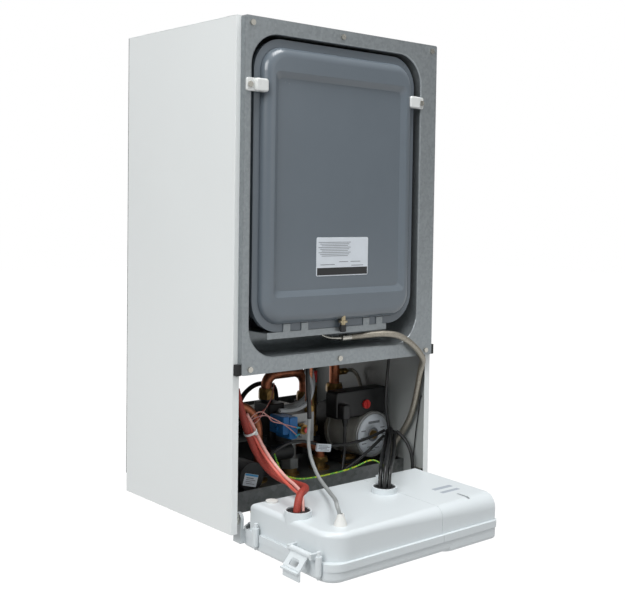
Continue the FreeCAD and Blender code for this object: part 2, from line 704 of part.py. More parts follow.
def combustion():
    drum = rod("y", "0", "drum_front", "drum_z", "drum_out", "drum_back - drum_front")
    feet = [span(f"{x} - 12", f"{x} + 12", "drum_back - 4", "depth - frame_sheet",
                 "drum_z - 14", "drum_z + 14") for x in ("-70", "70")]
    flue_port = rod("z", "0", "flue_y", "drum_z + drum_out - 14", "flue_inner + 4", "31")
    drain_port = rod("z", "trap_x", "trap_y", "trap_z + 88", "11", "30")
    right_port = rod("x", "100", "200", "430", "pipe + 3", "24")
    left_port = rod("x", "-124", "200", "430", "small_pipe + 3", "24")
    inside = rod("y", "0", "drum_front - 1", "drum_z", "drum_out - drum_wall",
                 "drum_back - drum_front - drum_wall + 1")
    bores = [
        rod("z", "0", "flue_y", "drum_z + 90", "flue_inner", "60"),
        rod("z", "trap_x", "trap_y", "trap_z + 70", "7", "60"),
        rod("x", "90", "200", "430", "pipe", "40"),
        rod("x", "-130", "200", "430", "small_pipe", "40")]
    body = cut(joined(drum, *feet, flue_port, drain_port, right_port, left_port),
               inside, *bores)
    finish("heat_exchanger_body", body)

    door = rod("y", "0", "drum_front - door_thick", "drum_z", "drum_out", "door_thick")
    elbow_foot = "fan_z + fan_out + 4"
    low = span("fan_x - 25", "fan_x + 25", "70", "100", elbow_foot, "drum_z + 10")
    high = span("fan_x - 25", "35", "70", "100", "drum_z - 40", "drum_z + 40")
    tube = rod("y", "0", "drum_front", "drum_z", "burner_out", "burner_back - drum_front")
    low_in = span("fan_x - 21", "fan_x + 21", "74", "96", f"{elbow_foot} - 1", "drum_z + 6")
    high_in = span("fan_x - 21", "31", "74", "96", "drum_z - 36", "drum_z + 36")
    bore = rod("y", "0", "90", "drum_z", "burner_out - burner_wall",
               "burner_back - burner_wall - 90")
    finish("burner", cut(joined(door, low, high, tube), low_in, high_in, bore))

    scroll = rod("y", "fan_x", "fan_front", "fan_z", "fan_out", "fan_deep")
    neck = span("fan_x - 25", "fan_x + 25", "70", "100", "fan_z + 28", elbow_foot)
    motor = rod("y", "fan_x", "fan_front + fan_deep", "fan_z", "motor_round", "motor_deep")
    intake = rod("x", "fan_x + 44", "86", "fan_z + 4", "16", "44")
    gas_boss = rod("z", "24", "86", "fan_z - 18", "9", "14")
    cavity = rod("y", "fan_x", "fan_front + fan_wall", "fan_z", "fan_out - 5",
                 "fan_deep - 2 * fan_wall")
    neck_in = span("fan_x - 21", "fan_x + 21", "74", "96", "fan_z + 20", f"{elbow_foot} + 1")
    intake_in = rod("x", "fan_x + 40", "86", "fan_z + 4", "12", "60")
    gas_in = rod("z", "24", "86", "fan_z - 20", "6", "8")
    gas_jet = rod("z", "24", "86", "fan_z - 20", "3", "16")
    shaft_bore = rod("y", "fan_x", "fan_front + 30", "fan_z", "shaft + fit_gap", "42")
    finish("fan_housing", cut(joined(scroll, neck, motor, intake, gas_boss), cavity,
                              neck_in, intake_in, gas_in, gas_jet, shaft_bore))

    wheel = rod("y", "fan_x", "fan_front + 8", "fan_z", "rotor", "rotor_deep - 2")
    eye = rod("y", "fan_x", "fan_front + 7", "fan_z", "rotor - 5", "rotor_deep - 6")
    axle = rod("y", "fan_x", "fan_front + 10", "fan_z", "shaft", "60")
    finish("fan_impeller", joined(cut(wheel, eye), axle))

    trap = rod("z", "trap_x", "trap_y", "trap_z", "trap_out", "84")
    neck = rod("z", "trap_x", "trap_y", "trap_z + 80", "12", "8")
    barb = rod("z", "trap_x", "trap_y", "trap_z - 16", "drain_bore", "20")
    trap_in = rod("z", "trap_x", "trap_y", "trap_z + 3", "trap_out - 3", "78")
    throat = rod("z", "trap_x", "trap_y", "trap_z - 20", "3.5", "120")
    finish("condensate_trap", cut(joined(trap, neck, barb), trap_in, throat))


def ring(axis, x, y, z, out, bore, length):
    """A plain tube with square ends."""
    start = {"x": (f"({x}) - 1", y, z), "y": (x, f"({y}) - 1", z), "z": (x, y, f"({z}) - 1")}
    return cut(rod(axis, x, y, z, out, length),
               rod(axis, *start[axis], bore, f"({length}) + 2"))


def flue():
    duct = ring("z", "0", "flue_y", "drum_z + drum_out - 6", "flue_inner",
                "flue_inner - 1.5", "height + socket_rise - drum_z - drum_out + 6")
    finish("flue_duct", duct)
    sleeve = ring("z", "0", "flue_y", "height - socket_sink", "flue_outer",
                  "flue_outer - flue_wall", "socket_sink + socket_rise")
    flange = ring("z", "0", "flue_y", "height", "flue_outer + 12", "flue_outer - 1", "2.5")
    reach = "flue_outer - flue_wall / 2"
    ribs = joined(span(f"-({reach})", reach, "flue_y - 1", "flue_y + 1",
                       "height - socket_sink + 5", "height - socket_sink + 17"),
                  span("-1", "1", f"flue_y - ({reach})", f"flue_y + {reach}",
                       "height - socket_sink + 5", "height - socket_sink + 17"))
    inner = rod("z", "0", "flue_y", "height - socket_sink", "flue_inner", "30")
    finish("flue_socket", joined(sleeve, flange, cut(ribs, inner)))


# Water and gas parts in the lower bay

TAIL_TOP = "tray_floor + frame_sheet + pipe_reach"


def copper():
    """Rigid pipes: outer radius and bore for each bend line."""
    tail = number(TAIL_TOP)
    wide = (number("pipe"), number("pipe_bore"))
    small = (number("small_pipe"), number("small_pipe_bore"))
    lines = [
        (route(("crossover_left", "crossover_y", "tower_top + 4"),
               ("crossover_left", "crossover_y", "crossover_top"),
               ("crossover_right", "crossover_y", "crossover_top"),
               ("crossover_right", "crossover_y", "140")), *wide),
        (route(("pump_x + port_shift", "port_back", "port_top"),
               ("pump_x + port_shift", "port_back", "360"),
               ("pump_x + port_shift", "200", "430"), ("112", "200", "430")), *wide),
        (route(("-73", "112", tail + 8.5), ("-73", "112", "150"), ("-150", "114", "172"),
               ("-150", "130", "260"), ("-150", "200", "430"), ("-112", "200", "430")),
         *small),
        (route(("pipe_pitch", "pipe_row", tail), ("pipe_pitch", "pipe_row", "66"),
               ("46", "150", "75"), ("26", "168", "75"), ("flow_right", "168", "75")), 8, 7),
        (route(("24", "106", "gas_top"), ("24", "106", "215"), ("24", "86", "262"),
               ("24", "86", "fan_z - 12")), 6, 5),
    ]
    finish("copper_pipes", route_piece("copper_run", lines))

    nuts = []
    for x, y, z, flats, high, bore in (
            ("crossover_left", "crossover_y", "tower_top + 4", "pipe_nut", "18", "pipe"),
            ("crossover_right", "crossover_y", "140", "pipe_nut", "16", "pipe"),
            ("pump_x + port_shift", "port_back", "port_top", "pipe_nut + 3", "15", "pipe"),
            ("pipe_pitch", "pipe_row", TAIL_TOP, "pipe_nut", "9", "8"),
            ("24", "106", "gas_top", "14", "11", "6")):
        nut = hexagon("z", x, y, z, flats, high)
        chamfer = cone("z", x, y, f"{z} - 1", f"({flats}) / 2 + 6", f"({flats}) / 2 - 2",
                       f"({high}) + 4")
        nuts.append(cut(shared(nut, chamfer),
                        rod("z", x, y, f"{z} - 1", bore, f"({high}) + 2")))
    finish("pipe_nuts", grouped(*nuts))


def flow_side():
    main = span("flow_left", "flow_right - 24", "flow_front + 7", "flow_back", TAIL_TOP,
                "flow_top")
    base = span("flow_right - 40", "flow_right", "flow_front + 5", "flow_back - 6", "58",
                "flow_top + 4")
    tower = tub("up", "(tower_left + flow_right) / 2", "(flow_front + flow_back - 6) / 2",
                "flow_top - 4", "(flow_right - tower_left) / 2",
                "(flow_back - 6 - flow_front) / 2", "tower_top - flow_top + 4", "5", "2")
    neck = rod("z", "crossover_left", "crossover_y", "tower_top - 5", "11", "9")
    valve = rod("y", "valve_axis_x", "servo_back", "valve_axis_z", "16",
                "flow_front + 10 - servo_back")
    heat_foot = rod("z", "-2 * pipe_pitch", "pipe_row", TAIL_TOP, "wide_thread", "16")
    heat_link = span("-2 * pipe_pitch - 10", "-2 * pipe_pitch + 10", "pipe_row",
                     "flow_front + 10", TAIL_TOP, f"{TAIL_TOP} + 14")
    hot_foot = rod("z", "-pipe_pitch", "pipe_row", TAIL_TOP, "small_thread", "8.5")
    hot_link = span("-84", "-pipe_pitch + 10", "102", "flow_front + 10", TAIL_TOP,
                    f"{TAIL_TOP} + 8.5")
    sensor = rod("x", "-62", "sensor_y", "sensor_z", "sensor_out", "44.5")
    sensor_neck = rod("y", "-45", "sensor_y", "sensor_z", "8", "flow_front + 10 - sensor_y")
    barb = rod("x", "flow_right - 1", "150", "136", "drain_bore", "9")
    ports = [rod("y", x, "flow_back - 1", z, "10", "plate_front - flow_back + 1")
             for x, z in (("-44", "60"), ("-44", "82"))]
    bores = [
        rod("x", "flow_left + 8", "173", "68", "13", "flow_right - flow_left - 30"),
        rod("y", "valve_axis_x", "servo_back + 12", "valve_axis_z", "12", "40"),
        rod("y", "valve_axis_x", "servo_back - 2", "valve_axis_z", "stem_out + fit_gap", "20"),
        rod("z", "-73", "112", f"{TAIL_TOP} + 8.5", "small_pipe", "60"),
        rod("z", "crossover_left", "crossover_y", "80", "7", "80")]
    body = cut(joined(main, base, tower, neck, valve, heat_foot, heat_link, hot_foot,
                      hot_link, sensor, sensor_neck, barb, *ports), *bores, *tail_spaces())
    finish("flow_manifold", body)

    servo = tub("front", "valve_axis_x", "servo_back", "valve_axis_z", "servo_out",
                "servo_out", "servo_back - servo_front", "servo_out - 0.5", "2")
    lug = span("valve_axis_x + servo_out - 4", "valve_axis_x + servo_out + 5",
               "servo_back - 16", "servo_back", "valve_axis_z - 14", "valve_axis_z - 4")
    stem_bore = rod("y", "valve_axis_x", "servo_front + 14", "valve_axis_z",
                    "stem_out + fit_gap", "40")
    finish("diverter_motor", cut(joined(servo, lug), stem_bore))
    stem = rod("y", "valve_axis_x", "servo_front + 22", "valve_axis_z", "stem_out", "52")
    disc = rod("y", "valve_axis_x", "servo_back + 22", "valve_axis_z", "9", "6")
    finish("diverter_spindle", joined(stem, disc))

    block = span("gas_left", "gas_right", "gas_front", "gas_back", "gas_foot", "gas_top")
    cheek = rod("y", "gas_left + 24", "gas_front - 5", "gas_foot + 22", "13", "8")
    inlet = rod("z", "0", "pipe_row", TAIL_TOP, "11", f"gas_foot + 2 - ({TAIL_TOP})")
    grip = hexagon("z", "0", "pipe_row", TAIL_TOP, "27", "16")
    outlet = rod("z", "24", "106", "gas_top - 20", "6", "21")
    finish("gas_valve_body", cut(joined(block, cheek, inlet, grip), outlet, *tail_spaces()))

    coils = []
    for left, right, foot, top in (("coil_left", "coil_left + 12", "coil_foot + 9", "coil_top"),
                                   ("coil_left + 13", "gas_left", "coil_foot", "coil_top - 2")):
        coils.append(tub("front", f"({left} + {right}) / 2", "118",
                         f"({foot} + {top}) / 2", f"({right} - ({left})) / 2",
                         f"({top} - ({foot})) / 2", "118 - coil_front", "3", "1.5"))
    core = rod("x", "coil_left - 2", "100", "120", "5", "gas_left - coil_left + 2")
    finish("gas_valve_coils", cut(joined(*coils, core),
                                  rod("x", "coil_left - 3", "100", "120", "2", "8")))
    stub = rod("y", "tuner_x", "gas_front - 5 - tuner_reach + 5", "tuner_z", "tuner_out",
               "tuner_reach - 5")
    collar = hexagon("y", "tuner_x", "gas_front - 13", "tuner_z", "17", "8")
    cap = rod("y", "tuner_x", "gas_front - tuner_reach - 6", "tuner_z", "5", "8")
    finish("gas_regulator", joined(stub, collar, cap))


def return_side():
    volute = rod("y", "pump_x", "can_back", "pump_z", "volute_out",
                 "volute_back - can_back")
    port = rod("z", "pump_x + port_shift", "port_back", "pump_z + 30", "port_out",
               "port_top - pump_z - 30")
    plate = span("2 * pipe_pitch - 20", "2 * pipe_pitch + 16", "108", "236",
                 "tray_floor + 4.5", "tray_floor + 10.5")
    column = span("2 * pipe_pitch - 20", "2 * pipe_pitch + 16", "volute_back", "236",
                  "tray_floor + 4.5", "arm_top")
    arm = span("arm_left", "2 * pipe_pitch - 20", "190", "plate_front", "46", "arm_top")
    relief_seat = span("relief_x - 14", "relief_x + 11", "relief_y - 12", "200", "56",
                       "relief_foot")
    tower = tub("up", "crossover_right", "177", "50", "11.5", "14", "90", "5", "1")
    tower_link = span("crossover_right - 11.5", "crossover_right + 11.5", "180", "plate_front",
                      "46", "arm_top")
    cavity = rod("y", "pump_x", "can_back + volute_wall", "pump_z", "volute_out - 10",
                 "volute_back - can_back - 2 * volute_wall")
    bores = [
        rod("z", "pump_x + port_shift", "port_back", "pump_z + 20", "9", "60"),
        rod("z", "crossover_right", "crossover_y", "60", "7", "90"),
        rod("y", "pump_x", "can_back - 1", "pump_z", "shaft + fit_gap", "volute_wall + 2"),
        rod("x", "arm_left + 10", "202", "60", "8", "60")]
    body = cut(joined(volute, port, plate, column, arm, relief_seat, tower, tower_link),
               cavity, *bores, *tail_spaces())
    finish("return_manifold", body)

    can = rod("y", "pump_x", "can_front", "pump_z", "can_out", "can_back - can_front")
    nose = rod("y", "pump_x", "can_front - 2", "pump_z", "can_out - 1.5", "4")
    rim = rod("y", "pump_x", "can_back - 8", "pump_z", "can_out + 3", "8")
    rim_trim = span("90", "2 * pipe_pitch + 14", "100", "can_back", "30", "46.5")
    shaft_bore = rod("y", "pump_x", "can_back - 45", "pump_z", "shaft + fit_gap", "50")
    vent_bore = rod("y", "pump_x", "can_front - 3", "pump_z", "vent_out - 2", "13")
    finish("pump_motor", cut(joined(can, nose, rim), shaft_bore, vent_bore, rim_trim))
    head = rod("y", "pump_x", "can_front - 6", "pump_z", "vent_out", "4")
    shank = rod("y", "pump_x", "can_front - 3", "pump_z", "vent_out - 2", "12")
    slot = span("pump_x - vent_out", "pump_x + vent_out", "can_front - 7", "can_front - 5",
                "pump_z - 0.7", "pump_z + 0.7")
    finish("pump_vent_screw", cut(joined(head, shank), slot))

    wheel = rod("y", "pump_x", "can_back + volute_wall + 5", "pump_z", "wheel_out",
                "wheel_deep")
    axle = rod("y", "pump_x", "can_back - 40", "pump_z", "shaft", "60")
    eye = rod("y", "pump_x", "can_back + volute_wall + 15", "pump_z", "wheel_out / 2", "10")
    finish("pump_impeller", cut(joined(wheel, axle), eye))

    box_x = "(terminal_left + terminal_right) / 2"
    box_z = "(terminal_foot + terminal_top) / 2"
    half_x = "(terminal_right - terminal_left) / 2"
    half_z = "(terminal_top - terminal_foot) / 2"
    deep = "terminal_back - can_front - 1"
    case = tub("front", box_x, "terminal_back", box_z, half_x, half_z, deep, "6", "3")
    hollow = tub("front", box_x, "terminal_back - 2.5", box_z, f"{half_x} - 2.5",
                 f"{half_z} - 2.5", f"{deep} - 5", "3.5")
    saddle = rod("y", "pump_x", "can_front - 5", "pump_z", "can_out", "60")
    saddle_wall = rod("y", "pump_x", "can_front - 5", "pump_z", "can_out + 2.5", "60")
    knob_hole = rod("y", "knob_x", "can_front - 2", "knob_z", "knob_deep - 1 + fit_gap", "8")
    finish("pump_terminal_box", cut(case, cut(hollow, saddle_wall), saddle, knob_hole))
    dial = rod("y", "knob_x", "can_front + 1 - knob_deep", "knob_z", "knob_out", "knob_deep")
    stalk = rod("y", "knob_x", "can_front", "knob_z", "knob_deep - 1", "8")
    groove = span("knob_x - 0.7", "knob_x + 0.7", "can_front - knob_deep",
                  "can_front + 2 - knob_deep", "knob_z - knob_out", "knob_z + knob_out")
    finish("pump_speed_knob", cut(joined(dial, stalk), groove))
    plug = tub("front", "plug_x", "can_front + 1", "plug_z", "plug_wide / 2",
               "plug_tall / 2", "can_front + 1 - plug_front", "4", "3")
    spout = cone("z", "plug_x", "plug_front + 6", "plug_z - plug_tall / 2 - 11", "3.4",
                 "5.2", "12")
    finish("pump_plug", cut(joined(plug, spout),
                            rod("z", "plug_x", "plug_front + 6",
                                "plug_z - plug_tall / 2 - 12", "black_cable", "8")))

    barrel = rod("z", "relief_x", "relief_y", "relief_foot", "relief_out",
                 "relief_top - relief_foot - 6")
    nut = hexagon("z", "relief_x", "relief_y", "relief_foot + 8", "21", "10")
    nose = rod("z", "relief_x", "relief_y", "relief_top - 8", "relief_out - 2", "8")
    stem = rod("z", "relief_x", "relief_y", "relief_top - 2", "3", "12")
    finish("relief_valve", joined(barrel, nut, nose, stem))
    grip = rod("z", "relief_x", "relief_y", "relief_top", "relief_cap", "relief_cap_high")
    dimple = rod("z", "relief_x", "relief_y", "relief_top - 1", "3 + fit_gap", "12")
    flutes = []
    for index in range(10):
        angle = index * math.tau / 10
        flutes.append(rod("z", f"relief_x + {math.cos(angle):.4f} * (relief_cap + 0.6)",
                          f"relief_y + {math.sin(angle):.4f} * (relief_cap + 0.6)",
                          "relief_top - 1", "1.6", "relief_cap_high - 3"))
    finish("relief_valve_knob", cut(grip, dimple, *flutes))

    core = span("plate_left + 3", "plate_right - 3", "plate_front", "plate_back",
                "plate_foot + 3", "plate_top - 3")
    sheets = []
    for index in range(int(SIZES["plates"])):
        y = f"plate_front + {index} * (plate_back - plate_front - plate_sheet) / (plates - 1)"
        sheets.append(span("plate_left", "plate_right", y, f"{y} + plate_sheet",
                           "plate_foot", "plate_top"))
    foot = span("0", "40", "plate_back - 12", "plate_back", "tray_floor + frame_sheet",
                "plate_foot + 5")
    finish("plate_heat_exchanger", joined(core, *sheets, foot))


# Control box, in the frame of its hinge

def front_only(point):
    return point.y < 0


def corner_block(x, y, z, half_x, half_y, high, corner, end_corner="0"):
    """A block that grows up, with one radius at its left front corner and one at the right."""
    body = doc.addObject("PartDesign::Body", named("corner_block"))
    corners = [(f"-({half_x})", f"-({half_y})"), (half_x, f"-({half_y})"),
               (half_x, half_y), (f"-({half_x})", half_y)]
    shape = padded(body, outline(body, corners), high)
    top = number(high)
    for side, size in ((-1, corner), (1, end_corner)):
        if number(size) > 0:
            upright = edges_where(shape, lambda ends: abs(ends[0].z - ends[-1].z) > top / 2
                                  and ends[0].y < 0 and ends[0].x * side > 0)
            shape = rounded(body, shape, upright, size)
    at(body, x, y, z)
    return body


def dome(half_x, front, back, foot, top, corner, front_round, edge_round):
    """The cover's vault: a broad rounding in front that narrows along the left side.

    The right end stays square.
    """
    body = corner_block("0", f"({front} + {back}) / 2", foot, half_x,
                        f"({back} - ({front})) / 2", f"{top} - ({foot})", corner)
    doc.recompute()
    vault = doc.addObject("Part::Fillet", named("vault"))
    vault.Base = body
    high = number(top)
    near = number(front)
    end_x = number(half_x)
    wide, narrow = number(front_round), number(edge_round)
    crown = []
    for index, edge in enumerate(body.Shape.Edges, start=1):
        if any(abs(vertex.Z - high) > 1e-6 for vertex in edge.Vertexes):
            continue
        ends = [edge.valueAt(edge.FirstParameter), edge.valueAt(edge.LastParameter)]
        if all(abs(end.x - end_x) < 1e-6 for end in ends):
            continue
        crown.append((index, *(wide if abs(end.y - near) < 1e-6 else narrow
                               for end in ends)))
    vault.Edges = crown
    doc.recompute()
    return vault


POSTS = [(side, y) for side in ("-", "") for y in ("post_rear", "post_front")]


def control_box():
    shell_y = "(shell_front + shell_back) / 2"
    shell_half_y = "(shell_back - shell_front) / 2"
    shell = tub("down", "0", shell_y, "split", "shell_half", shell_half_y,
                "split - shell_foot", "shell_corner", "foot_round",
                end_corner="end_corner")
    flap = tub("down", "(flap_left + shell_half + flap_proud) / 2",
               "shell_front - flap_proud + flap_deep / 2", "split - 9",
               "(shell_half + flap_proud - flap_left) / 2", "flap_deep / 2",
               "split - 9 - shell_foot + flap_thick", "shell_corner", "foot_round - 1",
               end_corner="end_corner")
    hollow = tub("down", "0", shell_y, "split + 1", "shell_half - shell_wall",
                 f"{shell_half_y} - shell_wall", "split - shell_foot - shell_wall + 1",
                 "shell_corner - shell_wall", "foot_round - shell_wall",
                 end_corner="end_corner - shell_wall")
    ears = []
    for side in ("-", ""):
        low, high = ("-ear_in - ear_thick", "-ear_in + 7") if side else (
            "ear_in - 7", "ear_in + ear_thick")
        start = "-ear_in - ear_thick" if side else "ear_in"
        ears.append(rod("x", start, "0", "0", "ear_out", "ear_thick"))
        ears.append(span(start, f"({start}) + ear_thick", "-ear_out", "ear_out",
                         "shell_foot + 5", "0"))
        ears.append(span(low, high, "-ear_out", "-3", "shell_foot + 5", "split - 1"))
    posts = []
    webs = []
    for side, y in POSTS:
        posts.append(rod("z", f"{side}post_x", y, "post_foot", "post_out",
                         "post_top - post_foot"))
        posts.append(cone("z", f"{side}post_x", y, "post_foot - 6", "1", "post_out", "6"))
        posts.append(rod("z", f"{side}post_x", y, "post_top", "post_pin",
                         "pin_top - post_top"))
        low, high = ("-post_x", "-post_x + 8") if side else ("post_x - 8", "post_x")
        webs.append(span(low, high, f"{y} - 1.5", f"{y} + 1.5", "post_foot", "split"))
    stands = [rod("z", x, y, "shell_foot + 1", "board_post",
                  "board_z - shell_foot - 1")
              for x in ("-board_half + 12", "board_half - 12")
              for y in ("board_front + 14", "board_back - 12")]
    bores = [rod("x", "-200", "0", "0", "hinge_pin + fit_gap", "400")]
    for x in ("dial_x", "second_dial_x"):
        bores.append(rod("z", x, "dial_y", "shell_foot - 5", "dial_shaft + fit_gap", "12"))
    bores.append(span("screen_left", "screen_left + screen_wide",
                      "screen_y - screen_deep / 2", "screen_y + screen_deep / 2",
                      "shell_foot - 1", "shell_foot + 1"))
    tray = cut(joined(shell, flap, *ears, *webs), hollow)
    finish("fascia_shell", cut(joined(tray, *posts, *stands), *bores), "box")

    plate_top = "split + lip"
    plate_y = "(lip_front + lip_back) / 2"
    plate_half = "(lip_back - lip_front) / 2"
    rim = corner_block("0", plate_y, "split - 8.5", "lip_half", plate_half, "8.5 + lip",
                       "shell_corner + lip", "end_corner + lip")
    tongue = span("-150", "150", "lip_back - 1", "shell_back - 2", "split", plate_top)
    vault = dome("cover_half", "cover_front", "cover_back", plate_top, "cover_top",
                 "cover_corner", "cover_round", "cover_edge")
    below = corner_block("0", shell_y, "split - 10", "shell_half + 0.1",
                         f"{shell_half_y} + 0.1", "10", "shell_corner", "end_corner")
    inside = dome("cover_half - cover_wall", "cover_front + cover_wall",
                  "cover_back - cover_wall", "split - 1", "cover_top - cover_wall",
                  "cover_corner - cover_wall", "cover_round - cover_wall",
                  "cover_edge - cover_wall")
    notches = []
    for side, y in POSTS:
        low, high = ("-200", "-post_x + 6.5") if side else ("post_x - 6.5", "200")
        notches.append(span(low, high, f"{y} - 5", f"{y} + 5", "split - 12",
                            f"{plate_top} + 1"))
    whole = cut(joined(rim, tongue, vault), below, inside, *notches)
    collars = []
    holes = []
    for x, y in (("left_entry_x", "left_entry_y"), ("right_entry_x", "right_entry_y")):
        collars.append(rod("z", x, y, "cover_top - 14", "entry_out", "entry_high + 14"))
        holes.append(rod("z", x, y, "cover_top - 15", "entry_out - entry_wall",
                         "entry_high + 20"))
    holes.append(rod("z", "cone_x", "cone_y", "cover_top - 5", "5", "8"))
    holes.append(rod("z", "-138", "-33", "cover_top - 5", "6", "8"))
    partition = shared(span("lid_left - lid_gap / 2 - cover_wall", "lid_left - lid_gap / 2",
                            "cover_front - 1", "cover_back + 1", "split", "cover_top"),
                       dome("cover_half - 1", "cover_front + 1", "cover_back - 1",
                            "split", "cover_top - 1", "cover_corner - 1",
                            "cover_round - 1", "cover_edge - 1"))
    low, high = "lid_left - lid_gap / 2", "lid_left + lid_gap / 2"
    lid_space = span(high, "200", "-240", "40", "-60", "60")
    cover_cut = span(low, "200", "-240", "40", "-60", "60")
    lugs = []
    for end in ("-", "+"):
        near = f"latch_y {end} (latch_wide / 2 + seam)"
        far = f"latch_y {end} (latch_wide / 2 + seam + 4)"
        first, second = (far, near) if end == "-" else (near, far)
        lugs.append(span("latch_x - 4", "-cover_half + 1", first, second, "latch_z - 4",
                         "latch_z + 4"))
        start = f"{far}" if end == "-" else f"{near} - 5"
        lugs.append(rod("y", "latch_x", start, "latch_z", "latch_pin", "9"))
    rear = cut(joined(cut(whole, cover_cut), partition, *collars, *lugs), *holes)
    finish("rear_cover", rear, "box")

    ledge = joined(rod("z", "85", "-30", "cover_top - 1", "12", "5"),
                   rod("z", "85", "-30", "cover_top - 1", "7", "8"))
    ledge_trim = span("60", "110", "-27", "0", "cover_top - 2", "cover_top + 12")
    slot = tub("up", "118", "-178", "0", "2.6", "13", "40", "2.5")
    lid = cut(joined(shared(whole, lid_space), cut(ledge, ledge_trim)), slot,
              rod("z", "right_entry_x", "right_entry_y", "-30", "entry_out + 0.2", "90"))
    finish("connection_cover", lid, "box")


def entries():
    """Rubber grommets with one bore per cable, the cone gland and a blind plug."""
    left = rod("z", "left_entry_x", "left_entry_y", "cover_top + 1",
               "entry_out - entry_wall", "entry_high - 3")
    left_bores = [rod("z", f"left_entry_x + {dx}", f"left_entry_y + {dy}", "cover_top - 9",
                      radius, "40") for dx, dy, radius in LEFT_ENTRY]
    right = rod("z", "right_entry_x", "right_entry_y", "cover_top + 1",
                "entry_out - entry_wall", "entry_high - 3")
    right_bores = [rod("z", f"right_entry_x + {dx:.4f}", f"right_entry_y + {dy:.4f}",
                       "cover_top - 9", radius, "40") for dx, dy, radius in RIGHT_ENTRY]
    gland = joined(cone("z", "cone_x", "cone_y", "cover_top", "cone_foot", "cone_head",
                        "cone_high"),
                   rod("z", "cone_x", "cone_y", "cover_top - 4", "5", "5"))
    gland = cut(gland, rod("z", "cone_x", "cone_y", "0", "grey_cable", "80"))
    plug = joined(rod("z", "-138", "-33", "cover_top", "9", "2.5"),
                  rod("z", "-138", "-33", "cover_top - 4", "6", "5"))
    finish("cable_grommets", grouped(cut(left, *left_bores), cut(right, *right_bores),
                                     gland, plug), "box")


def box_fittings():
    board = span("-board_half", "board_half", "board_front", "board_back", "board_z",
                 "board_z + board_thick")
    top = "board_z + board_thick"
    parts = [span("60", "104", "-150", "-112", top, f"{top} + 30"),
             span("-60", "-36", "-80", "-50", top, f"{top} + 16"),
             span("-30", "-6", "-80", "-50", top, f"{top} + 16"),
             span("0", "20", "-80", "-56", top, f"{top} + 16")]
    for index in range(6):
        parts.append(span(f"-120 + {index} * 26", f"-104 + {index} * 26", "-180", "-170",
                          top, f"{top} + 10"))
    parts.append(rod("z", "-90", "-60", top, "8", "18"))
    finish("circuit_board", joined(board, *parts), "box")

    for label, x in (("heating_knob", "dial_x"), ("water_knob", "second_dial_x")):
        dial = rod("z", x, "dial_y", "shell_foot - dial_high", "dial_out", "dial_high")
        grip = span(f"{x} - 3", f"{x} + 3", "dial_y - dial_out + 2", "dial_y + dial_out - 2",
                    "shell_foot - dial_high - 3", "shell_foot - dial_high + 1")
        shaft = rod("z", x, "dial_y", "shell_foot - 1", "dial_shaft", "13")
        finish(label, joined(dial, grip, shaft), "box")
    lens = span("screen_left", "screen_left + screen_wide", "screen_y - screen_deep / 2",
                "screen_y + screen_deep / 2", "shell_foot + 1 - screen_thick",
                "shell_foot + 1")
    finish("display_lens", grouped(lens), "box")

    barrel = rod("y", "latch_x", "latch_y - latch_wide / 2", "latch_z", "latch_out",
                 "latch_wide")
    plate = doc.addObject("PartDesign::Body", named("latch_plate"))
    lean = math.radians(SIZES["latch_lean"])
    tip_x, tip_z = f"latch_long * {math.sin(lean):.4f}", f"latch_long * {math.cos(lean):.4f}"
    side = [("0", "latch_half_thick"), ("0", "-latch_half_thick"), (f"{tip_x} - 1.2", f"-{tip_z} - 0.6"),
            (f"{tip_x} - 1.2", f"-{tip_z} - 14"), (f"{tip_x} + 1.2", f"-{tip_z} - 14"),
            (f"{tip_x} + 1.2", f"-{tip_z} + 0.9")]
    padded(plate, outline(plate, [(f"-({x})", z) for x, z in side], "XZ_Plane"),
           "latch_wide - 8")
    at(plate, "latch_x", "latch_y + latch_wide / 2 - 4", "latch_z")
    window = tub("up", "latch_x - latch_long * 0.45", "latch_y", "latch_z - 60", "3.5",
                 "9", "70", "3")
    pins = rod("y", "latch_x", "latch_y - latch_wide", "latch_z", "latch_pin + fit_gap",
               "2 * latch_wide")
    lip = span(f"latch_x - {tip_x} - 6", f"latch_x - {tip_x} + 1",
               "latch_y - latch_wide / 2 + 4", "latch_y + latch_wide / 2 - 4",
               f"latch_z - {tip_z} - 3", f"latch_z - {tip_z} - 0.5")
    finish("control_latch", cut(joined(barrel, plate, lip), window, pins), "box")


def hinge_brackets():
    pieces = []
    for side in ("-", ""):
        wall, inner = "(width / 2 - skin)", "(ear_in + ear_thick + bracket_gap)"
        low, high = (f"-{wall}", f"-{inner}") if side else (inner, wall)
        pad_low, pad_high = (f"-{wall}", f"-{wall} + 2") if side else (f"{wall} - 2", wall)
        block = span(low, high, "hinge_y - 7", "hinge_y + 9", "hinge_z - 7", "hinge_z + 9")
        pad = span(pad_low, pad_high, "hinge_y - 15", "hinge_y + 16", "hinge_z - 10",
                   "hinge_z + 16")
        start = f"-{inner} - 2" if side else "ear_in"
        pin = rod("x", start, "hinge_y", "hinge_z", "hinge_pin",
                  "ear_thick + bracket_gap + 2")
        washer = rod("x", f"-{inner}" if side else "ear_in + ear_thick + 0.3", "hinge_y",
                     "hinge_z", "6", "bracket_gap - 0.3")
        pieces.append(joined(block, pad, pin, washer))
    finish("hinge_brackets", grouped(*pieces))


# Cables and hoses

def entry_circle():
    """Where the black strands cross the right grommet: across and along their run."""
    pitch = number("strand_pitch")
    return [(0, 0), (pitch, 0), (-pitch, 0), (0, pitch), (0, -pitch)]


STRANDS = entry_circle()
RUN = math.sqrt(0.5)
RIGHT_ENTRY = [(-RUN * a - RUN * b, RUN * a - RUN * b, "black_strand") for a, b in STRANDS]
RIGHT_ENTRY.append((10.8, 9.9, "earth_lead + 0.3"))
LEFT_ENTRY = [(-3, 0, "bundle"), (6.2, 4.4, "side_lead"), (6.6, -3.4, "side_lead")]


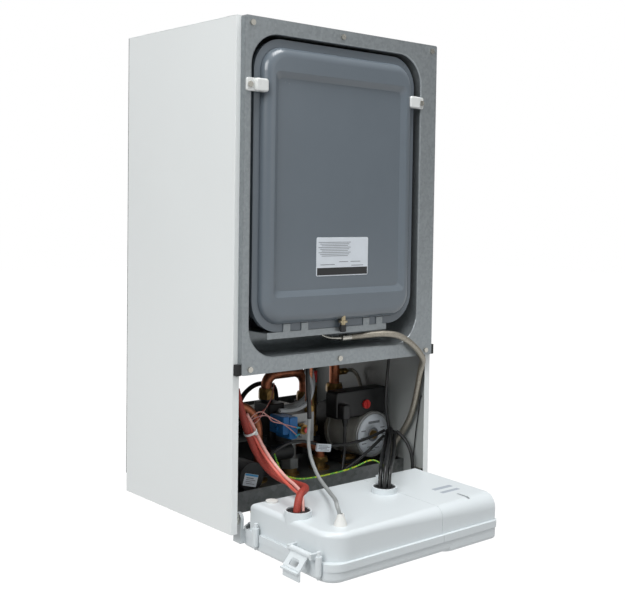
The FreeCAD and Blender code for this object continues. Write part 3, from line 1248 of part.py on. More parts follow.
def cables():
    left = ("left_entry_x", "left_entry_y")
    right = ("right_entry_x", "right_entry_y")

    def into(entry, dx, dy, *heights):
        return [V(*from_box(f"{entry[0]} + {dx:.4f}", f"{entry[1]} + {dy:.4f}", z))
                for z in heights]

    sleeve = number("bundle")
    thin = number("side_lead")
    red = [(route(("24 - width / 2", "26", "206"), ("30 - width / 2", "22", "176"),
                  ("48 - width / 2", "30", "140"),
                  ("-134", "31", "102"), ("-108", "20", "66"), ("-84", "-18", "58"),
                  ("-104", "-58", "70")) + into(left, *LEFT_ENTRY[0][:2], 56, 12),
            sleeve, 0)]
    for index, lift in ((1, 0), (2, 6)):
        dx, dy = LEFT_ENTRY[index][:2]
        red.append((route((f"39 - width / 2 + {lift / 6}", 18, 178 - lift),
                          (f"59 - width / 2 + {lift / 3}", 22, 134),
                          (-121 + lift / 3, 16, 97 + lift / 3),
                          (-112 + lift / 2, -16, 73 + lift / 2),
                          (-124 + lift, -60, 69 + lift)) + into(left, dx, dy, 54, 12),
                    thin, 0))
    finish("red_harness", route_piece("red_run", red))

    black = []
    for a, b in STRANDS:
        points = []
        edge = number("width / 2")
        for x, y, z, spread in ((edge - 31, 60, 90, 0.96), (edge - 50, 42, 74, 1.15),
                                (108, 2, 67, 1.4), (68, -38, 68, 1.15)):
            points.append(V(x - RUN * a * spread, y + RUN * a * spread, z + b * spread))
        dx, dy = -RUN * a - RUN * b, RUN * a - RUN * b
        points += into(right, dx, dy, 58 + b, 12)
        black.append((points, number("black_strand"), 0))
    branch = route(("width / 2 - 24", "53", "92"), ("width / 2 - 18.5", "44", "85"),
                   ("width / 2 - 15", "31", "70"),
                   ("width / 2 - 15.2", "21", "48"), ("width / 2 - 15.2", "21", "hinge_z + 9.2"))
    black.append((branch, number("branch_cable"), 0))
    finish("black_harness", route_piece("black_run", black))

    grey = route(("-24", "50", "246"), ("-31", "42", "205"), ("-27", "38", "150"),
                 ("-28", "42", "95"), ("-30", "16", "58"), ("-56", "-50", "50"),
                 ("-98", "-124", "61"))
    cone_in = [V(*from_box("cone_x", "cone_y", z)) for z in (61, 12)]
    finish("sensor_cable", route_piece("grey_run", [(grey + cone_in,
                                                    number("grey_cable"), 0)]))

    dx, dy = RIGHT_ENTRY[-1][:2]
    earth = route(("-70", "74", "88"), ("-73", "62", "76"), ("-65", "58", "55"),
                  ("-42", "52", "45"), ("-12", "46", "43.6"), ("34", "48", "43.4"),
                  ("76", "49", "45"), ("108", "40", "58"), ("116", "22", "50"),
                  ("96", "-8", "52"), ("64", "-44", "53")) + into(right, dx, dy, 41, 20)
    finish("earth_wire", route_piece("earth_run", [(earth, number("earth_lead"), 0)]))

    cable = number("black_cable")
    bay = [
        (route(("width / 2 - 34", "66", "262"), ("width / 2 - 37", "61", "222"),
               ("width / 2 - 43", "60", "182"),
               ("width / 2 - 41", "65", "138"), ("width / 2 - 32", "67", "108"),
               ("width / 2 - 30.1", "65.3", "91.2")), cable, 0),
        (route(("width / 2 - 40.5", "66.5", "93.5"), ("118", "61", "86"), ("70", "60", "83"),
               ("22", "60", "87"), ("-16", "62", "101"), ("-48", "63", "104"),
               ("-78", "70", "88"), ("-93", "84", "70")), cable, 0),
        (route(("width / 2 - 41.7", "66.3", "84.8"), ("134", "62", "73"), ("104", "61", "57"),
               ("78", "63", "44"), ("58", "66", "36")), cable, 0),
        (route(("plug_x", "plug_front + 6", "plug_z - plug_tall / 2 - 5"),
               ("plug_x", "plug_front + 6", "86"), ("76", "74", "62"),
               ("69", "70", "40")), cable, 0),
        (route(("-84", "162", "flow_top"), ("-84", "162", "122"), ("-62", "180", "158"),
               ("-22", "196", "175"), ("16", "206", "171"), ("48", "226", "156"),
               ("48", "226", "plate_top")), number("loop_hose"), 0),
    ]
    finish("bay_cables", route_piece("bay_run", bay))

    drain = route(("flow_right", "150", "136"), ("30", "150", "136"), ("58", "150", "147"),
                  ("67", "150", "174"), ("57", "150", "202"), ("trap_x", "trap_y", "226"),
                  ("trap_x", "trap_y", "trap_z - 2"))
    finish("condensate_hose", route_piece("drain_run", [
        (drain, number("drain"), number("drain_bore"))]))


def vessel_connection():
    upper, bend = vessel_fitting()
    sleeve = rod("x", "ferrule_start", "hose_y", "hose_z", "ferrule", "ferrule_long")
    tail = rod("z", "hose_foot_x", "hose_foot_y", "tray_floor + frame_sheet", "ferrule", "14")
    tail_nut = hexagon("z", "hose_foot_x", "hose_foot_y", "tray_floor + frame_sheet", "14", "6")
    hose_start = "ferrule_start + ferrule_long - 2"
    seat = rod("x", hose_start, "hose_y", "hose_z", "hose", "4")
    tail_seat = rod("z", "hose_foot_x", "hose_foot_y", "tray_floor + frame_sheet + 12",
                    "hose", "4")
    finish("vessel_hose_fitting", grouped(cut(joined(upper, bend, sleeve), seat),
                                          cut(joined(tail, tail_nut), tail_seat)))
    hose = route((hose_start, "hose_y", "hose_z"), ("38", "hose_y", "hose_z"),
                 ("58", "-2", "273"), ("82", "-11.5", "274.5"), ("108", "-18", "271"),
                 ("131", "-20.5", "258.5"), ("width / 2 - 50", "-20", "244"),
                 ("width / 2 - 37.5", "-18.8", "231.5"), ("width / 2 - 26.5", "-10.5", "222"),
                 ("width / 2 - 18", "1.5", "211.5"),
                 ("width / 2 - 14", "9", "196"), ("width / 2 - 13", "14", "175"),
                 ("width / 2 - 12.2", "21", "148"),
                 ("width / 2 - 11.5", "31.5", "120"),
                 ("width / 2 - 11.7", "47", "95"), ("width / 2 - 12.6", "64", "75"),
                 ("hose_foot_x", "hose_foot_y", "60"),
                 ("hose_foot_x", "hose_foot_y", "tray_floor + frame_sheet + 12"))
    finish("vessel_hose", route_piece("hose_run", [(hose, number("hose"), 0)]))


# The sequence that makes every sub-part

cabinet()
nipples()
vessel_panel()
seals_and_screws()
vessel_clips()
vessel()
vessel_bracket()
vessel_connection()
combustion()
flue()
copper()
flow_side()
return_side()
control_box()
entries()
box_fittings()
hinge_brackets()
cables()

doc.recompute()
for thing in finished:
    shape = thing.Shape
    bad = "" if shape.isValid() and "Invalid" not in thing.State else "  NOT SOUND"
    print(f"{thing.Label}: {len(shape.Solids)} solids, {shape.Volume / 1000:.1f} cm3{bad}")
    shape.exportStep(f"parts/{thing.Label}.step")
for thing in doc.Objects:
    if "Invalid" in thing.State or "Error" in thing.State:
        print("not sound:", thing.Label, thing.State)
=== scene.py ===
"""Wall-hung gas boiler with its casing front off: cords, finishes, small fittings, light and camera."""

import math

import bpy
from mathutils import Matrix, Vector


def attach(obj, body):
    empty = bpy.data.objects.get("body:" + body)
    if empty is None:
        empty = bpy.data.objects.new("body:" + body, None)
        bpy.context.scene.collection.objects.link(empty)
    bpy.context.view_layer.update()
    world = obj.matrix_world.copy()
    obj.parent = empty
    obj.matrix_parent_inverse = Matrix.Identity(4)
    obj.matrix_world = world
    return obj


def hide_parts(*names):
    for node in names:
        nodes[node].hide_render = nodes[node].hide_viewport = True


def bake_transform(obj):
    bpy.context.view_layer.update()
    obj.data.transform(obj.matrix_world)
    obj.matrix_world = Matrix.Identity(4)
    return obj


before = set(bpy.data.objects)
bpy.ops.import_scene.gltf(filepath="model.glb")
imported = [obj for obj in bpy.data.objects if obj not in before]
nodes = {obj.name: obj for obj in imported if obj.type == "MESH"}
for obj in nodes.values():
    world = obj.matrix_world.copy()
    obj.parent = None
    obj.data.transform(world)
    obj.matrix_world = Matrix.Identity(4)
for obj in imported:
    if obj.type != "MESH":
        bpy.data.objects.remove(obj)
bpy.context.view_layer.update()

# Places are written in the millimetres of the part's own drawing
MM = 0.001
DEPTH = 307
HOOK_HEIGHT = 700
HINGE_Y = 20
HINGE_Z = 16
BOX_TILT = math.radians(1.6)


def place(x, y, z):
    """Row-frame point of a cabinet point: Y from the side panels' front edges, Z from their foot."""
    return Vector((x * MM, (y - DEPTH) * MM, (z - HOOK_HEIGHT) * MM))


def on_box(x, y, z):
    """Row-frame point of a point drawn from the control box's hinge line."""
    back = HINGE_Y + y * math.cos(BOX_TILT) - z * math.sin(BOX_TILT)
    up = HINGE_Z + y * math.sin(BOX_TILT) + z * math.cos(BOX_TILT)
    return place(x, back, up)


# Camera
YAW = math.radians(42.481)
PITCH = math.radians(-2.478)
ROLL = math.radians(0.969)
FOCAL_PIXELS = 1029.487
PICTURE_WIDTH = 625
SENSOR = 36
CAMERA_SPOT = (-1035.6, -1220.2, 475)
SHIFT_ACROSS = -0.108
SHIFT_UP = -0.0754


def add_camera():
    """The photograph's viewpoint, left of the boiler and a little above its middle."""
    ahead = Vector((math.sin(YAW) * math.cos(PITCH), math.cos(YAW) * math.cos(PITCH),
                    math.sin(PITCH)))
    level = ahead.cross(Vector((0, 0, 1))).normalized()
    rise = level.cross(ahead)
    right = level * math.cos(ROLL) + rise * math.sin(ROLL)
    up = rise * math.cos(ROLL) - level * math.sin(ROLL)
    data = bpy.data.cameras.new("camera")
    data.sensor_fit = "HORIZONTAL"
    data.sensor_width = SENSOR
    data.lens = FOCAL_PIXELS * SENSOR / PICTURE_WIDTH
    data.shift_x = SHIFT_ACROSS
    data.shift_y = SHIFT_UP
    data.clip_start = 0.05
    data.clip_end = 50
    camera = bpy.data.objects.new("camera", data)
    camera.matrix_world = (Matrix.Translation(place(*CAMERA_SPOT))
                           @ Matrix((right, up, -ahead)).transposed().to_4x4())
    bpy.context.scene.collection.objects.link(camera)
    bpy.context.scene.camera = camera


add_camera()


# Finishes

# The noise values that a finish spreads out, the share of crystals, and two roughnesses
NOISE_LOW = 0.3
NOISE_HIGH = 0.7
CRYSTAL_SHARE = 0.45
LEAST_ROUGH = 0.02
COAT_ROUGH = 0.15


def tone(*screen):
    """The linear colour of a screen colour from 0 to 255."""
    return [(part / 255) ** 2.2 for part in screen]


def shade(colour, factor):
    """The same colour made lighter or darker, opaque."""
    return [min(1.0, part * factor) for part in colour] + [1.0]


class Surface:
    """A new material and the steps that its finish is built from."""

    def __init__(self, name):
        self.material = bpy.data.materials.new(name)
        self.material.use_nodes = True
        self.tree = self.material.node_tree
        self.link = self.tree.links.new
        self.shader = self.tree.nodes["Principled BSDF"]

    def add(self, kind, **settings):
        """A node with its settings and the values of its free inputs."""
        node = self.tree.nodes.new(kind)
        for key, value in settings.items():
            if key in node.inputs:
                node.inputs[key].default_value = value
            else:
                setattr(node, key, value)
        return node

    def spot(self):
        """The place on the object, in metres."""
        return self.add("ShaderNodeTexCoord").outputs["Object"]

    def noise(self, spot, **settings):
        """Soft noise over the object."""
        node = self.add("ShaderNodeTexNoise", **settings)
        self.link(spot, node.inputs["Vector"])
        return node

    def drift(self, level, colour, spread):
        """A colour from darker to lighter by the spread, as the level goes from 0 to 1."""
        blend = self.add("ShaderNodeMix", data_type="RGBA")
        blend.inputs[6].default_value = shade(colour, 1 - spread)
        blend.inputs[7].default_value = shade(colour, 1 + spread)
        self.link(level, blend.inputs["Factor"])
        return blend.outputs[2]

    def split(self, mask, level, inner, outer):
        """One drifting colour where the mask is 0 and another where it is 1."""
        chosen = self.add("ShaderNodeMix", data_type="RGBA")
        self.link(mask, chosen.inputs["Factor"])
        self.link(self.drift(level, *inner), chosen.inputs[6])
        self.link(self.drift(level, *outer), chosen.inputs[7])
        self.link(chosen.outputs[2], self.shader.inputs["Base Color"])

    def gloss(self, level, low, high):
        """Roughness from low to high, as the level goes from 0 to 1."""
        spread = self.add("ShaderNodeMapRange")
        spread.inputs["To Min"].default_value = low
        spread.inputs["To Max"].default_value = high
        self.link(level, spread.inputs["Value"])
        self.link(spread.outputs["Result"], self.shader.inputs["Roughness"])

    def relief(self, height, strength, depth):
        """A fine relief, its depth in millimetres."""
        bump = self.add("ShaderNodeBump", Strength=strength, Distance=depth * MM)
        self.link(height, bump.inputs["Height"])
        self.link(bump.outputs["Normal"], self.shader.inputs["Normal"])

    def past(self, value, operation, limit):
        """A mask that is 1 where a coordinate is past a limit in millimetres."""
        test = self.add("ShaderNodeMath", operation=operation)
        self.link(value, test.inputs[0])
        test.inputs[1].default_value = limit * MM
        return test.outputs["Value"]

    def join(self, operation, first, second):
        """Two masks made into one."""
        both = self.add("ShaderNodeMath", operation=operation)
        self.link(first, both.inputs[0])
        self.link(second, both.inputs[1])
        return both.outputs["Value"]


def finish(name, colour, rough, metallic=0.0, tint=0.08, tint_size=40, wear=0.08,
           grain=0.05, grain_size=1.2, coat=0.0, cell=None):
    """A surface with uneven colour and gloss and a fine relief, all sizes in millimetres.

    Where cell is given, its crystals are that wide, as on hot-dip zinc.
    """
    surface = Surface(name)
    spot = surface.spot()
    patch = surface.noise(spot, Scale=1000 / tint_size, Detail=5.0, Roughness=0.62)
    fine = surface.noise(spot, Scale=1000 / grain_size, Detail=2.0)
    level = patch.outputs["Fac"]
    if cell:
        bent = surface.add("ShaderNodeVectorMath", operation="MULTIPLY_ADD")
        surface.link(patch.outputs["Color"], bent.inputs[0])
        bent.inputs[1].default_value = (cell * MM,) * 3
        surface.link(spot, bent.inputs[2])
        crystal = surface.add("ShaderNodeTexVoronoi", Scale=1000 / cell, Randomness=1.0)
        surface.link(bent.outputs["Vector"], crystal.inputs["Vector"])
        mixed = surface.add("ShaderNodeMix", data_type="RGBA")
        mixed.inputs["Factor"].default_value = CRYSTAL_SHARE
        surface.link(patch.outputs["Color"], mixed.inputs[6])
        surface.link(crystal.outputs["Color"], mixed.inputs[7])
        grey = surface.add("ShaderNodeRGBToBW")
        surface.link(mixed.outputs[2], grey.inputs["Color"])
        level = grey.outputs["Val"]
    spread = surface.add("ShaderNodeMapRange")
    spread.inputs["From Min"].default_value = NOISE_LOW
    spread.inputs["From Max"].default_value = NOISE_HIGH
    surface.link(level, spread.inputs["Value"])
    level = spread.outputs["Result"]
    shader = surface.shader
    surface.link(surface.drift(level, colour, tint), shader.inputs["Base Color"])
    surface.gloss(level, max(LEAST_ROUGH, rough - wear), min(1.0, rough + wear))
    surface.relief(fine.outputs["Fac"], 0.6, grain)
    shader.inputs["Metallic"].default_value = metallic
    if coat:
        shader.inputs["Coat Weight"].default_value = coat
        shader.inputs["Coat Roughness"].default_value = COAT_ROUGH
    return surface.material


WHITE_PAINT_TONE = tone(228, 232, 232)
# Grey of the panels' inner faces: painted shade for the dim inside of the cabinet
INSIDE_SHADE_TONE = tone(164, 168, 167)
ZINC = finish("zinc_sheet", tone(140, 146, 149), 0.34, metallic=0.6, tint=0.09, tint_size=8,
              wear=0.06, grain=0.03, cell=4)
ZINC_DARK = finish("zinc_frame", tone(122, 125, 125), 0.42, metallic=0.65, tint=0.20,
                   tint_size=18, grain=0.03, cell=7)
STEEL = finish("plated_steel", tone(186, 184, 176), 0.26, metallic=1.0, tint=0.10, tint_size=8,
               grain=0.01, grain_size=0.6)
# Black foam of the seals, partly a painted shadow for the gap beside the vessel panel
SEAL_FOAM_AND_GAP_SHADOW = finish("black_foam", tone(38, 38, 39), 0.9, tint=0.3, tint_size=4, grain=0.3,
              grain_size=1.0)
VESSEL_PAINT = finish("vessel_paint", tone(96, 105, 113), 0.27, tint=0.03, tint_size=120,
                      wear=0.004, grain=0.012, grain_size=1.6, coat=0.35)
WHITE_PLASTIC = finish("white_plastic", tone(210, 217, 220), 0.34, tint=0.012, tint_size=200,
                       grain=0.015, grain_size=0.8)
CLIP_PLASTIC = finish("clip_plastic", tone(214, 217, 216), 0.3, tint=0.02, tint_size=20,
                      grain=0.01, grain_size=0.8)
DARK_PLASTIC = finish("dark_plastic", tone(27, 28, 29), 0.45, tint=0.25, tint_size=15,
                      grain=0.05, grain_size=0.5)
BLUE_PLASTIC = finish("blue_plastic", tone(36, 106, 168), 0.38, tint=0.12, tint_size=10,
                      grain=0.03, grain_size=0.6)
RED_PLASTIC = finish("red_plastic", tone(190, 42, 40), 0.4, tint=0.08, tint_size=6,
                     grain=0.02, grain_size=0.5)
GREY_RUBBER = finish("grey_rubber", tone(164, 168, 170), 0.55, tint=0.08, tint_size=12,
                     grain=0.05, grain_size=0.6)
BLACK_RUBBER = finish("black_rubber", tone(34, 35, 36), 0.5, tint=0.25, tint_size=8,
                      grain=0.06, grain_size=0.5)
BRASS = finish("brass", tone(150, 122, 76), 0.38, metallic=0.9, tint=0.32, tint_size=5,
               grain=0.04, grain_size=0.6)
COPPER = finish("copper", tone(170, 106, 78), 0.42, metallic=0.75, tint=0.38, tint_size=9,
                wear=0.12, grain=0.02, grain_size=0.8)
CAST = finish("cast_aluminium", tone(150, 152, 152), 0.48, metallic=0.8, tint=0.14,
              tint_size=9, grain=0.12, grain_size=0.9)
PUMP_PAINT = finish("pump_paint", tone(158, 158, 152), 0.40, metallic=0.2, tint=0.10,
                    tint_size=18, grain=0.10, grain_size=1.4, coat=0.2)
BRAID = finish("braided_steel", tone(150, 145, 134), 0.40, metallic=0.75, tint=0.42,
               tint_size=1.3, wear=0.12, grain=0.12, grain_size=0.5)
RED_CABLE = finish("red_sleeve", tone(150, 58, 48), 0.6, tint=0.40, tint_size=1.6,
                   grain=0.15, grain_size=0.5)
PINK_CABLE = finish("pink_lead", tone(196, 92, 80), 0.42, tint=0.1, tint_size=10,
                    grain=0.01)
NICKEL = finish("nickel_brass", tone(172, 160, 132), 0.30, metallic=0.9, tint=0.15,
                tint_size=5, grain=0.02, grain_size=0.5)
THIN_PINK = finish("thin_pink_wire", tone(206, 150, 150), 0.45, tint=0.25, tint_size=2.5,
                   grain=0.01)
THIN_RED = finish("thin_red_wire", tone(170, 62, 56), 0.45, tint=0.2, tint_size=3, grain=0.01)
CYAN_PLASTIC = finish("cyan_tip", tone(70, 158, 176), 0.4, tint=0.12, tint_size=3, grain=0.01)
ROSE_CAP = finish("rose_cap", tone(206, 84, 84), 0.45, tint=0.12, tint_size=3, grain=0.02)
PALE_LEAD = finish("pale_lead", tone(214, 160, 152), 0.42, tint=0.12, tint_size=3, grain=0.01)
BLACK_CABLE = finish("black_cable", tone(33, 34, 35), 0.36, tint=0.2, tint_size=12,
                     grain=0.02, grain_size=0.6)
GREY_CABLE = finish("grey_cable", tone(150, 154, 154), 0.42, tint=0.06, tint_size=25,
                    grain=0.02, grain_size=0.6)
BOARD = finish("circuit_board", tone(40, 110, 62), 0.4, tint=0.15, tint_size=4)
LENS = finish("display_lens", tone(48, 51, 54), 0.12, tint=0.05, coat=0.6)
LABEL = finish("label_paper", tone(206, 213, 220), 0.45, tint=0.03, tint_size=15, grain=0.01)
LABEL_INK = finish("label_grey", tone(120, 124, 130), 0.5, tint=0.1, tint_size=6)
COVER_PRINT = finish("cover_print", tone(160, 168, 178), 0.45, tint=0.05, tint_size=5)
LABEL_BLUE = finish("label_blue", tone(70, 150, 200), 0.5, tint=0.05, tint_size=6)


# Where the panels' outer skin begins, and the stretch of the cable entries that is rubber
SIDE_SKIN = 199.6
FRONT_EDGE = -306.5
TOP_SKIN = 44.4
RUBBER_FRONT = -430
RUBBER_BACK = -345


def paint_panels():
    """White paint outside and a grey of painted shade inside: one finish, split by place on the sheet.
    """
    surface = Surface("panel_paint")
    spot = surface.spot()
    parts = surface.add("ShaderNodeSeparateXYZ")
    surface.link(spot, parts.inputs["Vector"])
    across = surface.add("ShaderNodeMath", operation="ABSOLUTE")
    surface.link(parts.outputs["X"], across.inputs[0])
    skin = surface.past(across.outputs["Value"], "GREATER_THAN", SIDE_SKIN)
    front = surface.past(parts.outputs["Y"], "LESS_THAN", FRONT_EDGE)
    top = surface.past(parts.outputs["Z"], "GREATER_THAN", TOP_SKIN)
    # White where the sheet is outer skin, front edge or top; painted shade on the inner faces
    outside = surface.join("MAXIMUM", surface.join("MAXIMUM", skin, front), top)
    patch = surface.noise(spot, Scale=6.0, Detail=3.0).outputs["Fac"]
    surface.split(outside, patch, (INSIDE_SHADE_TONE, 0.10), (WHITE_PAINT_TONE, 0.02))
    orange_peel = surface.noise(spot, Scale=420.0, Detail=1.0)
    surface.relief(orange_peel.outputs["Fac"], 0.4, 0.02)
    surface.gloss(patch, 0.34, 0.42)
    return surface.material


def grommet_finish():
    """Black rubber round the two cable entries, off-white plastic for the cone and the plug."""
    surface = Surface("entry_parts")
    spot = surface.spot()
    parts = surface.add("ShaderNodeSeparateXYZ")
    surface.link(spot, parts.inputs["Vector"])
    behind = surface.past(parts.outputs["Y"], "GREATER_THAN", RUBBER_FRONT)
    ahead = surface.past(parts.outputs["Y"], "LESS_THAN", RUBBER_BACK)
    rubber = surface.join("MULTIPLY", behind, ahead)
    patch = surface.noise(spot, Scale=150.0, Detail=3.0).outputs["Fac"]
    surface.split(rubber, patch, (tone(216, 217, 214), 0.03), (tone(36, 37, 38), 0.2))
    surface.gloss(patch, 0.42, 0.55)
    surface.relief(patch, 0.3, 0.03)
    return surface.material


def earth_finish():
    """Earth lead insulation: yellow and green in short patches."""
    surface = Surface("earth_lead")
    wave = surface.noise(surface.spot(), Scale=260.0, Detail=1.0).outputs["Fac"]
    steps = surface.add("ShaderNodeValToRGB")
    steps.color_ramp.elements[0].position = 0.44
    steps.color_ramp.elements[0].color = (0.55, 0.62, 0.03, 1)
    steps.color_ramp.elements[1].position = 0.52
    steps.color_ramp.elements[1].color = (0.10, 0.42, 0.05, 1)
    surface.link(wave, steps.inputs["Fac"])
    surface.link(steps.outputs["Color"], surface.shader.inputs["Base Color"])
    surface.relief(wave, 0.3, 0.02)
    surface.shader.inputs["Roughness"].default_value = 0.4
    return surface.material


EARTH_LEAD = earth_finish()
PANEL_PAINT = paint_panels()
ENTRY_PARTS = grommet_finish()


# Cords

def spline_curve(name, points, smoothness=12):
    """A smooth curve with the route's points as its control points."""
    data = bpy.data.curves.new(name, "CURVE")
    data.dimensions = "3D"
    data.resolution_u = smoothness
    spline = data.splines.new("NURBS")
    spline.points.add(len(points) - 1)
    for target, point in zip(spline.points, points):
        target.co = (*point, 1)
    spline.order_u = 3
    spline.use_endpoint_u = True
    piece = bpy.data.objects.new(name, data)
    bpy.context.scene.collection.objects.link(piece)
    return piece


def centre_line(points, smoothness=12):
    """The points along a route's smooth curve, close together."""
    guide = spline_curve("guide", points, smoothness)
    bpy.context.view_layer.update()
    mesh = bpy.data.meshes.new_from_object(guide)
    line = [vertex.co.copy() for vertex in mesh.vertices]
    bpy.data.meshes.remove(mesh)
    data = guide.data
    bpy.data.objects.remove(guide)
    bpy.data.curves.remove(data)
    return line


def add_mesh(name, vertices, faces, material, smooth=True):
    """A mesh object from its corners and faces."""
    mesh = bpy.data.meshes.new(name)
    mesh.from_pydata([tuple(vertex) for vertex in vertices], [], faces)
    mesh.polygons.foreach_set("use_smooth", [smooth] * len(mesh.polygons))
    mesh.materials.append(material)
    mesh.validate()
    mesh.update()
    piece = bpy.data.objects.new(name, mesh)
    bpy.context.scene.collection.objects.link(piece)
    return piece


def carried_frames(line):
    """For each point of a line: two side directions that don't twist, and the distance run."""
    frames = []
    ahead = (line[1] - line[0]).normalized()
    side = ahead.orthogonal().normalized()
    run = 0.0
    for index, point in enumerate(line):
        before = line[max(index - 1, 0)]
        after = line[min(index + 1, len(line) - 1)]
        turned = (after - before).normalized()
        side = (ahead.rotation_difference(turned) @ side).normalized()
        ahead = turned
        if index:
            run += (point - line[index - 1]).length
        frames.append((side, ahead.cross(side), run))
    return frames


def tube(name, line, radius, material, sides=18, relief=None):
    """A closed tube round a line. Relief adds height by angle and distance run."""
    vertices = []
    faces = []
    for point, (side, up, run) in zip(line, carried_frames(line)):
        for step in range(sides):
            angle = 2 * math.pi * step / sides
            out = radius + (relief(angle, run) if relief else 0)
            vertices.append(point + side * math.cos(angle) * out + up * math.sin(angle) * out)
    for ring in range(len(line) - 1):
        for step in range(sides):
            after = (step + 1) % sides
            faces.append((ring * sides + step, ring * sides + after,
                          (ring + 1) * sides + after, (ring + 1) * sides + step))
    faces.append(tuple(reversed(range(sides))))
    faces.append(tuple(range((len(line) - 1) * sides, len(line) * sides)))
    return add_mesh(name, vertices, faces, material)


# Share of a weave's height that lies inside the radius of its tube
SUNK = 0.6


def woven(strands, pitch, height):
    """The relief of a braid: two sets of strands that wind opposite ways and cross."""
    def relief(angle, run):
        turn = strands * angle / (2 * math.pi)
        rise = run / pitch
        first = abs(math.cos(math.pi * (turn + rise)))
        second = abs(math.cos(math.pi * (turn - rise)))
        over = 0.5 + 0.5 * math.cos(2 * math.pi * rise)
        return height * (first * over + second * (1 - over) - SUNK)
    return relief


def declare(nodes_replaced):
    """Hide the frame parts that a cable or hose stands in for."""
    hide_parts(*nodes_replaced)


def round_cable(name, points, radius, material, facets):
    """A smooth round cable with closed ends that rides with the cabinet."""
    piece = spline_curve(name, points)
    piece.data.bevel_depth = radius * MM
    piece.data.bevel_resolution = facets
    piece.data.use_fill_caps = True
    piece.data.materials.append(material)
    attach(piece, "chassis")
    return piece


def fixed_cable(name, points, radius, material, node):
    """A cable or hose with both ends in the cabinet, in its frame part's stead."""
    piece = round_cable(name, points, radius, material, 5)
    declare([node])


def bending_cable(name, points, radius, material, node, relief=None,
                  sides=18, smoothness=12):
    """A cable that runs from the cabinet into the control box, as a tube mesh left in place in its
    frame part's stead.
    """
    line = centre_line(points, smoothness)
    piece = tube(name, line, radius * MM, material, sides, relief)
    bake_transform(piece)
    declare([node])


def cabinet_route(*points):
    """Row-frame points of a route drawn in the cabinet."""
    return [place(*point) for point in points]


# Red harness: a woven sleeve with two thin leads beside it
LEFT_ENTRY = (-146, -106)
SLEEVE = cabinet_route((-176, 26, 206), (-170, 22, 176), (-152, 30, 140), (-134, 31, 102),
                       (-108, 20, 66), (-88, -16, 58), (-108, -60, 66))
SLEEVE += [on_box(LEFT_ENTRY[0] - 3, LEFT_ENTRY[1], height) for height in (56, 12)]
bending_cable("red_sleeve", SLEEVE, 5.4, RED_CABLE, "red_harness",
              relief=woven(14, 2.4 * MM, 0.5 * MM), sides=56, smoothness=44)


SIDE_LEADS = [
    ("red_lead", 239, PINK_CABLE, (6.2, 4.4),
     ((-163, 25, 171), (-150, 28, 150), (-143.5, 29, 136), (-126.5, 21, 100), (-119, -13, 72),
      (-130, -57, 66))),
    ("pale_lead", 240, PALE_LEAD, (6.6, -3.4),
     ((-158, 24, 168), (-145.5, 25.5, 150), (-139.3, 26.2, 137), (-122.5, 18.5, 102),
      (-115.5, -12, 76), (-125, -56.5, 71))),
]
for name, length, material, (across, back), points in SIDE_LEADS:
    lead = cabinet_route(*points)
    lead += [on_box(LEFT_ENTRY[0] + across, LEFT_ENTRY[1] + back, height) for height in (54, 12)]
    bending_cable(name, lead, 2.4, material, "red_harness")

# Black harness: five strands into the box and a branch to the hinge bracket
RIGHT_ENTRY = (32, -92.5)
PITCH_ACROSS = 6.8
SLANT = math.sqrt(0.5)
STRANDS = [(0, 0, 232), (PITCH_ACROSS, 0, 232), (-PITCH_ACROSS, 0, 232),
           (0, PITCH_ACROSS, 244), (0, -PITCH_ACROSS, 221)]
# Places along the bundle of strands, and how far it spreads there
STRAND_PATH = ((169, 60, 90, 0.96), (150, 42, 74, 1.15), (108, 2, 67, 1.4), (68, -38, 68, 1.15))
for number, (across, above, length) in enumerate(STRANDS):
    strand = []
    for x, y, z, spread in STRAND_PATH:
        strand.append(place(x - SLANT * across * spread, y + SLANT * across * spread,
                            z + above * spread))
    end_x = RIGHT_ENTRY[0] - SLANT * across - SLANT * above
    end_y = RIGHT_ENTRY[1] + SLANT * across - SLANT * above
    strand.append(on_box(end_x, end_y, 58 + above))
    strand.append(on_box(end_x, end_y, 12))
    bending_cable(f"black_strand_{number}", strand, 3.2, BLACK_CABLE,
                  "black_harness")
BRANCH = cabinet_route((176, 53, 92), (181.5, 44, 85), (185, 31, 70), (184.8, 21, 48),
                       (184.8, 21, 25.2))
fixed_cable("black_branch", BRANCH, 3, BLACK_CABLE, "black_harness")

# Sensor cable into the cone, and the earth lead
SENSOR_ROUTE = cabinet_route((-24, 50, 246), (-31, 42, 205), (-27, 38, 150), (-28, 42, 95),
                             (-30, 16, 58), (-58, -47, 51), (-103, -119, 60))
SENSOR_ROUTE += [on_box(-128, -167, 56), on_box(-123, -171.5, 37), on_box(-123, -171.5, 12)]
bending_cable("sensor_cable_line", SENSOR_ROUTE, 2.9, GREY_CABLE,
              "sensor_cable")
EARTH_ROUTE = cabinet_route((-70, 74, 88), (-73, 62, 76), (-65, 58, 55), (-42, 52, 45),
                            (-12, 46, 43.6), (34, 48, 43.4), (76, 49, 45), (108, 40, 58),
                            (116, 22, 50), (96, -8, 52), (64, -44, 53))
EARTH_ROUTE += [on_box(RIGHT_ENTRY[0] + 10.8, RIGHT_ENTRY[1] + 9.9, height)
                for height in (41, 20)]
bending_cable("earth_lead_line", EARTH_ROUTE, 1.3, EARTH_LEAD, "earth_wire",
              sides=12)

